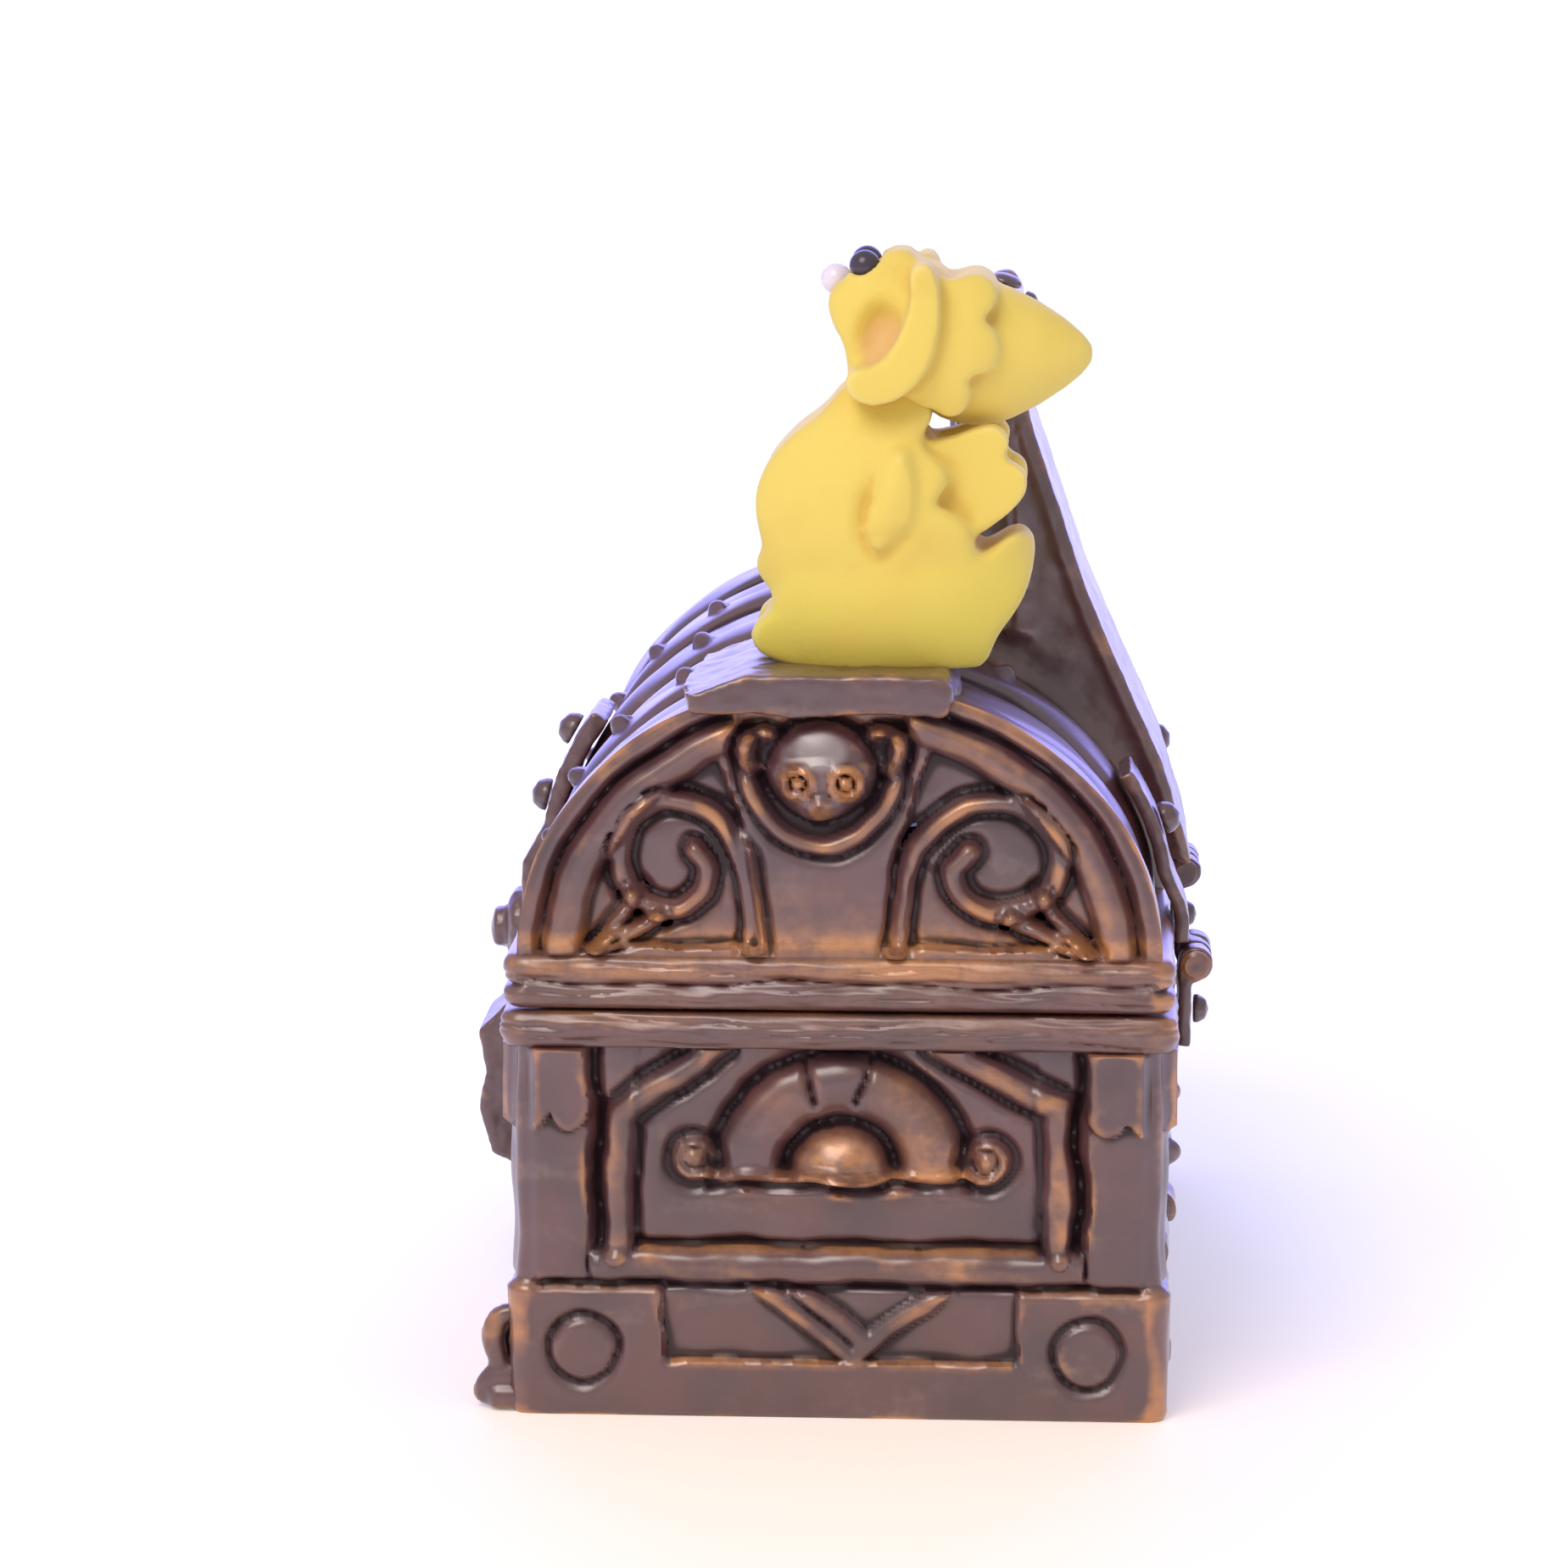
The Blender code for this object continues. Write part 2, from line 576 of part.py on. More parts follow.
def bubble_cup(lid):
    """The upturned cup under the vault that catches the rising air."""
    post_top = vault_height(STONE_X - 2.5, RIB_RISE - LID_WALL) - GAP
    inner_r, ceiling = CUP_R - CUP_WALL, CUP_TOP - CUP_WALL
    inside = [(0, ceiling), (CUP_R - 3.4, ceiling), (inner_r, CUP_TOP - 3.6), (inner_r, CUP_LOW)]
    outside = [(CUP_R, CUP_LOW), (CUP_R, CUP_TOP - 3), (CUP_R - 3, CUP_TOP)]
    post = [(2.5, CUP_TOP + 1.5), (2.5, post_top), (0, post_top)]
    cup = turned(inside + outside + post, (0, 0, 1), (STONE_X, 0, 0), 24)
    return make("bubble_cup", cup, "clear_plastic", lid)


def trim_weight(lid):
    """The steel bar at the front of the lid that closes it when the air is spilled."""
    bm = block((-28.6, -13.0, 43.2), (-23.6, 13.0, 47.6))
    bmesh.ops.bevel(bm, geom=bm.edges[:], offset=0.6, affect="EDGES", segments=1, profile=0.5)
    return make("lid_trim_weight", bm, "steel", lid)


def hasp(lid):
    """The strap over the front of the vault that hangs past the seam, with its round boss."""
    thick = 1.9
    hang_x = -RIM_HALF[0] - 0.5
    outline = strap_outline(hang_x, 32.6, [math.pi * (0.955 - 0.036 * i) for i in range(5)], thick)
    strap = make("hasp_strap", prism(outline, -6.0, 6.0), "bronze_brown", lid)
    profile = [(0, 0), (4.4, 0), (4.4, 1.8), (3.0, 2.6), (2.2, 2.4), (2.2, 4.0), (0, 4.7)]
    boss = turned(profile, (-1, 0, 0), (hang_x - thick + 0.6, 0, 38.4), 18)
    boolean(strap, make("hasp_boss", boss), "UNION")
    for i, turn in enumerate((0.93, 0.85)):
        place, outward = on_vault(math.pi * turn, 0, RIB_RISE + 0.4 + thick)
        rivet(f"hasp_rivet_{i + 1}", place, outward, 1.8, lid)
    return strap


def hinge_rivets(lid):
    for i, side in enumerate((-1, 1)):
        y = side * HINGE_Y
        place, outward = on_vault(math.pi * 0.1, y, RIB_RISE + 0.4 + 1.4)
        rivet(f"hinge_rivet_upper_{i + 1}", place, outward, 1.7, lid)
        rivet(f"hinge_rivet_lower_{i + 1}", (RIM_HALF[0] + GAP + 1.3, y, 35.6), (1, 0, 0), 1.5)


# --- Creature ---

# Lumps of the body: place (x, y from the middle plane, z), radii (x, y, z)
BODY_LUMPS = [
    ((2.4, 0, 86.0), (11.0, 10.5, 11.2)),
    ((3.2, 0, 79.6), (11.6, 11.0, 5.9)),
    ((1.6, 0, 95.6), (6.2, 6.2, 6.0)),
    ((12.0, 0, 78.8), (5.2, 4.6, 4.2)),
    ((15.8, 0, 81.8), (3.2, 3.2, 4.2)),
]
PAIRED_BODY_LUMPS = [
    ((-5.4, 6.0, 76.6), (3.6, 3.4, 2.4)),
    ((12.6, 5.6, 91.6), (4.6, 2.2, 4.3)),
    ((4.8, 9.0, 90.2), (2.4, 2.8, 4.8)),
]
HEAD_LUMPS = [
    ((6.4, 0, 105.6), (7.4, 7.4, 7.3)),
    ((2.2, 0, 109.2), (4.2, 4.6, 3.6)),
    ((12.2, 0, 103.0), (6.4, 6.6, 6.4)),
    ((16.0, 0, 102.9), (4.8, 4.8, 4.8)),
    ((20.2, 0, 103.3), (2.9, 2.9, 2.7)),
    ((22.6, 0, 103.5), (1.6, 1.6, 1.5)),
]
PAIRED_HEAD_LUMPS = [
    ((4.4, 8.6, 105.8), (4.8, 2.6, 6.2)),
    ((4.8, 3.2, 112.2), (1.8, 1.8, 1.7)),
]
BEADS = {
    "eye_bead_near": ((2.0, -3.1, 112.4), 1.5, "bead_black"),
    "eye_bead_far": ((2.0, 3.1, 112.4), 1.5, "bead_black"),
    "nose_bead": ((-0.9, 0.0, 110.9), 1.5, "bead_lilac"),
}


def lump_mass(lumps, paired):
    """Overlapping ellipsoids made one skin."""
    bm = bmesh.new()
    both = lumps + [((x, side * y, z), radii) for (x, y, z), radii in paired for side in (-1, 1)]
    for (x, y, z), radii in both:
        shape = Matrix.Translation((x, FIGURE_Y + y, z)) @ Matrix.Diagonal((*radii, 1))
        bmesh.ops.create_uvsphere(bm, u_segments=20, v_segments=12, radius=1, matrix=shape)
    return bm


def skinned(obj):
    remesh = obj.modifiers.new("one_skin", "REMESH")
    remesh.mode = "VOXEL"
    remesh.voxel_size = 1.55 * MM
    remesh.use_smooth_shade = True


def figure_body(lid):
    body = make("figure_body", lump_mass(BODY_LUMPS, PAIRED_BODY_LUMPS), "creature_yellow", lid)
    skinned(body)
    above = block((-30, -70, NECK_Z - GAP / 2), (40, 0, 130))
    below = block((-30, -70, 60), (40, 0, SADDLE_TOP + GAP))
    inside = bmesh.new()
    shape = Matrix.Translation((2.6, FIGURE_Y, 86.4)) @ Matrix.Diagonal((7.5, 7.0, 5.0, 1))
    bmesh.ops.create_uvsphere(inside, u_segments=16, v_segments=8, radius=1, matrix=shape)
    boolean(body, make("above_neck", above), "DIFFERENCE")
    boolean(body, make("below_seat", below), "DIFFERENCE")
    boolean(body, make("body_hollow", inside), "DIFFERENCE")
    vent = rod(2.0, (3.5, FIGURE_Y, 70), (3.5, FIGURE_Y, 84), 12)
    boolean(body, make("body_vent", vent), "DIFFERENCE")
    for i, x in enumerate(FIGURE_SCREW_X):
        hole = rod(SCREW_HOLE_R, (x, FIGURE_Y, 60), (x, FIGURE_Y, 81.0), 12)
        boolean(body, make(f"body_hole_{i}", hole), "DIFFERENCE")
    return body


def figure_head(lid):
    lumps = HEAD_LUMPS + [BODY_LUMPS[2]]
    head = make("figure_head", lump_mass(lumps, PAIRED_HEAD_LUMPS), "creature_yellow", lid)
    skinned(head)
    boolean(head, make("below_neck", block((-30, -70, 60), (40, 0, NECK_Z + GAP / 2))), "DIFFERENCE")
    for name, ((x, y, z), radius, _) in BEADS.items():
        socket = bmesh.new()
        place = Matrix.Translation((x, FIGURE_Y + y, z))
        bmesh.ops.create_uvsphere(socket, u_segments=14, v_segments=10, radius=radius + GAP, matrix=place)
        boolean(head, make(f"socket_{name}", socket), "DIFFERENCE")
    return head


def beads(lid):
    for name, ((x, y, z), radius, slot) in BEADS.items():
        bm = bmesh.new()
        place = Matrix.Translation((x, FIGURE_Y + y, z))
        bmesh.ops.create_uvsphere(bm, u_segments=14, v_segments=10, radius=radius, matrix=place)
        make(name, bm, slot, lid)


def main():
    for obj in list(bpy.data.objects):
        bpy.data.objects.remove(obj)
    bpy.context.scene.unit_settings.scale_length = 1.0

    box_shell()
    base_plate()
    base_screws()
    ballast()
    stone_cradle()
    air_stone()
    inlet_barb()
    inlet_nut()
    air_hose()
    treasure_deck()
    coin_heaps()
    lock_case()

    lid = bpy.data.objects.new("lid_hinge_axis", None)
    lid.location = (HINGE_X * MM, 0, HINGE_Z * MM)
    bpy.context.scene.collection.objects.link(lid)
    for number, y in ((1, -HINGE_Y), (2, HINGE_Y)):
        hinge_leaf_lower(number, y)
        hinge_leaf_upper(number, y, lid)
        hinge_pin(number, y)
    hinge_rivets(lid)
    lid_shell(lid)
    lid_screws(lid)
    saddle_plate(lid)
    back_panel(lid)
    panel_trim(lid)
    bubble_cup(lid)
    trim_weight(lid)
    hasp(lid)
    figure_body(lid)
    figure_head(lid)
    beads(lid)


main()
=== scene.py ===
"""Bubbling chest ornament: the painted shells, the creature, the fittings and what is inside."""

import json
import math
import random

import bmesh
import bpy
import numpy as np
from bpy.props import FloatProperty, FloatVectorProperty, PointerProperty
from mathutils import Matrix, Vector, noise


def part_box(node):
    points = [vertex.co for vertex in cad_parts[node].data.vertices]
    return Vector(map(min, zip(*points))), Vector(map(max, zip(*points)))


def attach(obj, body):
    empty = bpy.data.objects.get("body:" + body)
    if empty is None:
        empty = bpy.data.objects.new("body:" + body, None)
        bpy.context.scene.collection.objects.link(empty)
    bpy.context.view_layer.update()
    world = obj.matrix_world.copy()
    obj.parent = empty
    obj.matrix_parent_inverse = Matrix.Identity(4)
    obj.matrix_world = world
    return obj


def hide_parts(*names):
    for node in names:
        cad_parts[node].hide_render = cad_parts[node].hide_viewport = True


bl_info = {
    "name": "Bubbling chest ornament",
    "version": (1, 0, 0),
    "blender": (4, 5, 0),
    "location": "View3D > Sidebar > Chest",
    "description": "Builds the painted chest, its creature, fittings, insides and stage around the CAD frame",
    "category": "Object",
}

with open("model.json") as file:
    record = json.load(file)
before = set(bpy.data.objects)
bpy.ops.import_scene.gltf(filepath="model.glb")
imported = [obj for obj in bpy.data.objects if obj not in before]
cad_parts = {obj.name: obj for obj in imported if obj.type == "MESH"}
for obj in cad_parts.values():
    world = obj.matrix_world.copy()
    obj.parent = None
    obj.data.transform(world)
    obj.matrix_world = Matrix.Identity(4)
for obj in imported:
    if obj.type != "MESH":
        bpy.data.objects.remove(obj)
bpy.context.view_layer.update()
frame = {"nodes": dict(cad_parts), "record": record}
MM = 0.001


def node_box(name):
    """A CAD node's corners in millimetres."""
    low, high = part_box(name)
    return low / MM, high / MM


SHELL_HIGH = node_box("box_shell")[1]
LID_LOW, LID_HIGH = node_box("lid_shell")
SADDLE_LOW, SADDLE_HIGH = node_box("saddle_plate")
PANEL_LOW, PANEL_HIGH = node_box("back_panel")
CUP_BOTTOM, CUP_TIP = node_box("bubble_cup")
STONE_LOW, STONE_HIGH = node_box("air_stone")

# Steps in the shells, from the frame's own sizes
RIM_OUT = 1.6
SKIRT_OUT = 0.9
BODY_HALF = (SHELL_HIGH.x - RIM_OUT, SHELL_HIGH.y - RIM_OUT)
BOX_TOP = SHELL_HIGH.z
SKIRT_TOP = 13.2
RIM_FOOT = 37.2
LID_RIM_TOP = LID_LOW.z + 5.2
RIB_RISE = 1.4
VAULT_HALF = 31.3
VAULT_RISE = LID_HIGH.z - LID_RIM_TOP
VAULT_END = 51.9
BOX_WALL = 3.0
FLOOR_THICKNESS = 2.9
END_RADIUS = 29.0
VAULT_WALL = 2.2
RIB_SPACING = 24.5
FIGURE_Y = -37.5
LONGEST_FINE_EDGE = 1.5

# The stage, in metres
FLOOR_HALF = 0.8
BACK_LIGHT_SPOT, BACK_LIGHT_SIZE = (0.0, 0.95, 0.36), 1.1
KEY_LIGHT_SPOT, KEY_LIGHT_SIZE = (-0.25, -0.55, 0.66), 0.45
KEY_LIGHT_COLOUR = (1.0, 0.90, 0.85)
CAMERA_SPOT, CAMERA_AIM, CAMERA_LENS = (0.02109, -0.54423, 0.15005), (-0.0526, 0.9835, -0.1733), 119.17


class ChestSizes(bpy.types.PropertyGroup):
    """How finely the pieces are divided and how deep the moulded relief is."""

    end_step: FloatProperty(name="End step", description="Mesh spacing on the carved ends, mm", default=0.36)
    side_step: FloatProperty(name="Side step", description="Mesh spacing on the long sides, mm", default=0.62)
    skin_voxel: FloatProperty(name="Skin voxel", description="Voxel of the modelled pieces, mm", default=0.42)
    trim_voxel: FloatProperty(name="Trim voxel", description="Voxel of straps and studs, mm", default=0.27)
    relief: FloatProperty(
        name="Relief", description="Scale of the moulded relief", default=1.0, min=0, max=1.5
    )
    wobble: FloatProperty(name="Wobble", description="Hand-made unevenness of the relief, mm", default=0.22)
    rib_rise: FloatProperty(name="Rib rise", description="Height of the lid's ribs, mm", default=1.5)
    stud_radius: FloatProperty(
        name="Stud radius", description="Radius of the moulded studs, mm", default=1.35
    )
    coin_radius: FloatProperty(name="Coin radius", description="Radius of a treasure coin, mm", default=2.1)
    coin_count: FloatProperty(name="Coin count", description="Coins on each heap", default=150)


def colour_property(label, text, value):
    return FloatVectorProperty(
        name=label, description=text, subtype="COLOR", size=3, min=0, max=1, default=value
    )


class ChestColours(bpy.types.PropertyGroup):
    """The paints, in linear light."""

    brown: colour_property("Brown", "The chest's coat", (0.100, 0.035, 0.038))
    umber: colour_property("Umber", "The darker patches of the coat", (0.060, 0.024, 0.030))
    # Partly painted shade: the wash also darkens broad hollows where shade falls.
    recess: colour_property("Recess", "The wash that lies in grooves", (0.010, 0.003, 0.006))
    bronze: colour_property("Bronze", "Dry-brushed edges", (0.56, 0.245, 0.080))
    ash: colour_property("Ash", "Greyish rubbed patches", (0.20, 0.125, 0.115))
    pale: colour_property("Pale", "The patch on the medallion's brow", (0.36, 0.33, 0.33))
    yellow: colour_property("Yellow", "The creature's coat", (0.77, 0.60, 0.118))
    green: colour_property("Green", "Its shaded underside", (0.60, 0.52, 0.06))
    # Used both for warm patches and as painted shade in the creases.
    warm_tone_and_crease_shade: colour_property("Warm tone and crease shade", "Its warm creases", (0.66, 0.44, 0.07))
    blush: colour_property("Blush", "The ear's inside", (0.72, 0.46, 0.20))
    # Painted highlight on the raised edges.
    painted_highlight: colour_property("Painted highlight", "Its pale edges", (0.93, 0.84, 0.50))
    gold: colour_property("Gold", "The treasure", (0.72, 0.42, 0.09))


class StageSettings(bpy.types.PropertyGroup):
    """Floor, lights and surroundings."""

    floor: colour_property("Floor", "The surface under the chest", (0.94, 0.94, 0.94))
    # Painted bounce light: a warm tint on the floor beside the chest.
    painted_bounce: colour_property("Painted bounce", "The floor's tint beside the chest", (0.97, 0.83, 0.73))
    sky: colour_property("Sky", "The light all round", (0.64, 0.61, 0.60))
    dusk: colour_property("Dusk", "The cool light from behind", (0.40, 0.385, 1.0))
    sky_strength: FloatProperty(
        name="Sky strength", description="Strength of the light all round", default=1.0
    )
    back_power: FloatProperty(name="Back power", description="The cool light behind, W", default=10.0)
    key_power: FloatProperty(name="Key power", description="The warm light in front, W", default=3.6)


# --- Meshes ---


def work_object(bm, name="work"):
    """A bmesh as an object that modifiers can use."""
    mesh = bpy.data.meshes.new(name)
    bm.to_mesh(mesh)
    bm.free()
    obj = bpy.data.objects.new(name, mesh)
    bpy.context.scene.collection.objects.link(obj)
    return obj


def settled(obj, helpers=()):
    """The mesh an object has after its modifiers. The object and its helpers are removed."""
    evaluated = obj.evaluated_get(bpy.context.evaluated_depsgraph_get())
    mesh = bpy.data.meshes.new_from_object(evaluated)
    for used in (obj, *helpers):
        old = used.data
        bpy.data.objects.remove(used)
        bpy.data.meshes.remove(old)
    return mesh


def combined(base, *changes):
    """base with other solids joined to it or cut from it, as (object, operation) pairs."""
    for helper, operation in changes:
        modifier = base.modifiers.new(operation, "BOOLEAN")
        modifier.operation = operation
        modifier.solver = "MANIFOLD"
        modifier.object = helper
    return settled(base, [helper for helper, _ in changes])


def skinned(bm, voxel, rounds=3, cuts=()):
    """Overlapping solids as one skin, softened, less the cuts."""
    obj = work_object(bm)
    remesh = obj.modifiers.new("skin", "REMESH")
    remesh.mode = "VOXEL"
    remesh.voxel_size = voxel
    soften = obj.modifiers.new("soften", "SMOOTH")
    soften.factor = 0.5
    soften.iterations = rounds
    helpers = [work_object(cut) for cut in cuts]
    for helper in helpers:
        hollow = obj.modifiers.new("hollow", "BOOLEAN")
        hollow.operation = "DIFFERENCE"
        hollow.solver = "MANIFOLD"
        hollow.object = helper
    if helpers:
        again = obj.modifiers.new("even", "REMESH")
        again.mode = "VOXEL"
        again.voxel_size = voxel
        finish = obj.modifiers.new("finish", "SMOOTH")
        finish.factor = 0.5
        finish.iterations = 2
    return settled(obj, helpers)


def positions(mesh):
    places = np.empty(len(mesh.vertices) * 3, np.float32)
    mesh.vertices.foreach_get("co", places)
    return places.reshape(-1, 3).astype(float)


def place(mesh, places):
    mesh.vertices.foreach_set("co", places.astype(np.float32).ravel())
    mesh.update()


def normals(mesh):
    values = np.empty(len(mesh.vertices) * 3, np.float32)
    mesh.vertices.foreach_get("normal", values)
    return values.reshape(-1, 3).astype(float)


def blurred(mesh, places, rounds):
    """Points after each has moved half way to its neighbours' middle, several times over."""
    edges = np.empty(len(mesh.edges) * 2, np.int32)
    mesh.edges.foreach_get("vertices", edges)
    a, b = edges.reshape(-1, 2).T
    short = np.linalg.norm(places[a] - places[b], axis=1) < LONGEST_FINE_EDGE
    a, b = a[short], b[short]
    count = len(places)
    degree = (np.bincount(a, minlength=count) + np.bincount(b, minlength=count))[:, None]
    for _ in range(rounds):
        total = [
            np.bincount(a, places[b, k], count) + np.bincount(b, places[a, k], count) for k in range(3)
        ]
        middle = np.where(degree > 0, np.stack(total, 1) / np.maximum(degree, 1), places)
        places = (places + middle) / 2
    return places


def mark_relief(mesh, rounds):
    """Stores how far each point stands above its near and wider surroundings, in millimetres, as "relief"."""
    places, out = positions(mesh), normals(mesh)
    near = blurred(mesh, places, rounds)
    wide = blurred(mesh, near, rounds * 5)
    # The wider term makes broad hollows darker under the wash, as painted shade.
    height = ((places - near) * out).sum(1) + 0.28 * ((places - wide) * out).sum(1)
    layer = mesh.attributes.new("relief", "FLOAT", "POINT")
    layer.data.foreach_set("value", height.astype(np.float32))


def hold_back(mesh, chosen, raised, sunk):
    """Scales the stored relief at some points, so that less bronze, or more wash and painted shade, shows there.
    """
    layer = mesh.attributes["relief"]
    values = np.empty(len(mesh.vertices), np.float32)
    layer.data.foreach_get("value", values)
    scale = np.where(values > 0, raised, sunk)
    layer.data.foreach_set("value", np.where(chosen, values * scale, values).astype(np.float32))


def mark(mesh, name, values):
    layer = mesh.attributes.new(name, "FLOAT", "POINT")
    layer.data.foreach_set("value", values.astype(np.float32))


def roughened(mesh, amount, size):
    """Moves the surface in and out by smooth noise, so that it looks modelled by hand."""
    places, out = positions(mesh), normals(mesh)
    shifts = [noise.fractal(Vector(p) / size, 1.0, 2.0, 3) for p in places]
    place(mesh, places + out * (np.array(shifts) * amount)[:, None])
    return mesh


def piece(name, mesh, material, body, replaced=(), relief_rounds=10, sharp=55):
    """A mesh in millimetres as a finished piece in metres that rides on a body."""
    if relief_rounds:
        mark_relief(mesh, relief_rounds)
    mesh.name = name
    mesh.transform(Matrix.Scale(MM, 4))
    mesh.shade_smooth()
    mesh.set_sharp_from_angle(angle=math.radians(sharp))
    mesh.materials.clear()
    mesh.materials.append(material)
    obj = bpy.data.objects.new(name, mesh)
    bpy.context.scene.collection.objects.link(obj)
    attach(obj, body)
    if replaced:
        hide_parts(*replaced)
    return obj


def as_mesh(bm):
    mesh = bpy.data.meshes.new("made")
    bmesh.ops.recalc_face_normals(bm, faces=bm.faces)
    bm.to_mesh(mesh)
    bm.free()
    return mesh


def ball(bm, centre, radii, turn=0.0, segments=24):
    """An ellipsoid, turned about Y by degrees."""
    radii = (radii,) * 3 if isinstance(radii, (int, float)) else radii
    shape = Matrix.Translation(centre) @ Matrix.Rotation(math.radians(turn), 4, "Y")
    shape = shape @ Matrix.Diagonal((*radii, 1))
    rings = segments * 2 // 3
    bmesh.ops.create_uvsphere(bm, u_segments=segments, v_segments=rings, radius=1, matrix=shape)


def slab(bm, low, high, soft=0.0):
    """A box between two corners, with its edges rounded off."""
    low, high = Vector(low), Vector(high)
    shape = Matrix.Translation((low + high) / 2) @ Matrix.Diagonal((*(high - low), 1))
    made = bmesh.ops.create_cube(bm, size=1, matrix=shape)["verts"]
    if soft:
        edges = list({edge for vert in made for edge in vert.link_edges})
        bmesh.ops.bevel(
            bm, geom=edges, offset=soft, affect="EDGES", segments=2, profile=0.5, material=-1
        )


def turned(bm, profile, axis, base, sides=48, squeeze=1.0):
    """A solid of revolution: (radius, along) pairs turned about axis through base, then squeezed sideways."""
    own = bmesh.new()
    ring = [own.verts.new((radius, 0, along)) for radius, along in profile]
    edges = [own.edges.new(pair) for pair in zip(ring, ring[1:])]
    if profile[0][0] > 0 and profile[-1][0] > 0:
        edges.append(own.edges.new((ring[-1], ring[0])))
    bmesh.ops.spin(
        own, geom=ring + edges, cent=(0, 0, 0), axis=(0, 0, 1), angle=math.tau, steps=sides, use_merge=True
    )
    turn = Vector((0, 0, 1)).rotation_difference(Vector(axis)).to_matrix().to_4x4()
    narrowed = turn @ Matrix.Diagonal((1, squeeze, 1, 1))
    bmesh.ops.transform(own, matrix=Matrix.Translation(base) @ narrowed, verts=own.verts)
    bmesh.ops.remove_doubles(own, verts=own.verts, dist=1e-4)
    bmesh.ops.recalc_face_normals(own, faces=own.faces)
    mesh = bpy.data.meshes.new("turned")
    own.to_mesh(mesh)
    own.free()
    take_in(bm, mesh)


def curve_through(points, steps=8):
    """A smooth line through given points."""
    points = np.array(points, float)
    padded = np.vstack([2 * points[0] - points[1], points, 2 * points[-1] - points[-2]])
    line = []
    for a, b, c, d in zip(padded, padded[1:], padded[2:], padded[3:]):
        for i in range(steps):
            t = i / steps
            line.append(
                b + t * (c - a) / 2 + t * t * (2 * a - 5 * b + 4 * c - d) / 2
                + t**3 * (3 * b - a - 3 * c + d) / 2
            )
    line.append(points[-1])
    return np.array(line)


def tube(bm, points, radii, sides=12):
    """A round limb of changing thickness along a smooth line, with round ends."""
    path = curve_through(np.column_stack([points, radii]), 6)
    line = [Vector(spot[:3]) for spot in path]
    whole = line[-1] - line[0]
    up = "X" if abs(whole.y) > 0.7 * whole.length else "Y"
    places = []
    for i, spot in enumerate(line):
        run = line[min(i + 1, len(line) - 1)] - line[max(i - 1, 0)]
        turn = run.to_track_quat("Z", up).to_matrix().to_4x4()
        places.append(Matrix.Translation(spot) @ turn @ Matrix.Scale(path[i, 3], 4))
    ring = bmesh.ops.create_circle(bm, cap_ends=True, segments=sides, radius=1, matrix=places[0])["verts"]
    edges = list({edge for vert in ring for edge in vert.link_edges})
    for before, after in zip(places, places[1:]):
        verts, edges = drawn_out(bm, edges)
        bmesh.ops.transform(bm, matrix=after @ before.inverted(), verts=verts)
    bmesh.ops.edgeloop_fill(bm, edges=edges)
    for spot, radius in ((line[0], path[0, 3]), (line[-1], path[-1, 3])):
        ball(bm, spot, radius, segments=sides)


def drawn_out(bm, edges):
    """Extrudes a loop of edges. Gives the new points and the new loop."""
    grown = bmesh.ops.extrude_edge_only(bm, edges=edges)["geom"]
    verts = [g for g in grown if isinstance(g, bmesh.types.BMVert)]
    fresh = set(verts)
    return verts, [g for g in grown if isinstance(g, bmesh.types.BMEdge) and set(g.verts) <= fresh]


def closed_curve(outline, steps=4):
    """A smooth closed line through given (x, z) points."""
    points = list(outline)
    count = len(points) * steps
    line = curve_through(points[-2:] + points + points[:2], steps)
    return line[2 * steps:2 * steps + count]


def take_in(bm, mesh):
    """Adds a mesh's points and faces to a bmesh and drops the mesh."""
    bm.from_mesh(mesh)
    bpy.data.meshes.remove(mesh)


def thick_outline(outline, start, depth):
    """A flat (x, z) outline made thick along Y."""
    bm = bmesh.new()
    face = bm.faces.new([bm.verts.new((x, start, z)) for x, z in outline])
    grown = bmesh.ops.extrude_face_region(bm, geom=[face])["geom"]
    moved = [g for g in grown if isinstance(g, bmesh.types.BMVert)]
    bmesh.ops.translate(bm, vec=(0, depth, 0), verts=moved)
    bmesh.ops.recalc_face_normals(bm, faces=bm.faces)
    return bm


def cutout(bm, outline, half, centre_y=0.0, lens=None):
    """Adds an (x, z) outline made thick along Y, cut to a (centre, radii) lens if there is one."""
    obj = work_object(thick_outline(closed_curve(outline), centre_y - half, 2 * half))
    if lens:
        form = bmesh.new()
        ball(form, *lens, segments=56)
        mesh = combined(obj, (work_object(form), "INTERSECT"))
    else:
        mesh = settled(obj)
    take_in(bm, mesh)


# --- Relief: heights over a flat face, as functions of (across, up) ---


def ramp(value, low, high):
    share = np.clip((value - low) / (high - low), 0, 1)
    return share * share * (3 - 2 * share)


def away_from(points, path):
    """The distance of each (across, up) point from a line of points."""
    nearest = np.full(len(points), 1e9)
    path = np.asarray(path, float)
    for start, end in zip(path, path[1:]):
        run = end - start
        share = np.clip(((points - start) @ run) / (run @ run), 0, 1)
        gap = points - (start + share[:, None] * run)
        nearest = np.minimum(nearest, np.hypot(gap[:, 0], gap[:, 1]))
    return nearest


def roll(distance, half, height):
    """A round-backed ridge."""
    return height * np.clip(1 - (distance / half) ** 2, 0, 1) ** 0.7


def groove(distance, half, depth):
    return -1.1 * depth * np.exp(-((distance / (1.3 * half)) ** 2))


def field(x, z, x_range, z_range, edge):
    """1 inside a rectangle, falling to 0 over its edge."""
    across = ramp(x, x_range[0], x_range[0] + edge) * ramp(-x, -x_range[1], -x_range[1] + edge)
    return across * ramp(z, z_range[0], z_range[0] + edge) * ramp(-z, -z_range[1], -z_range[1] + edge)


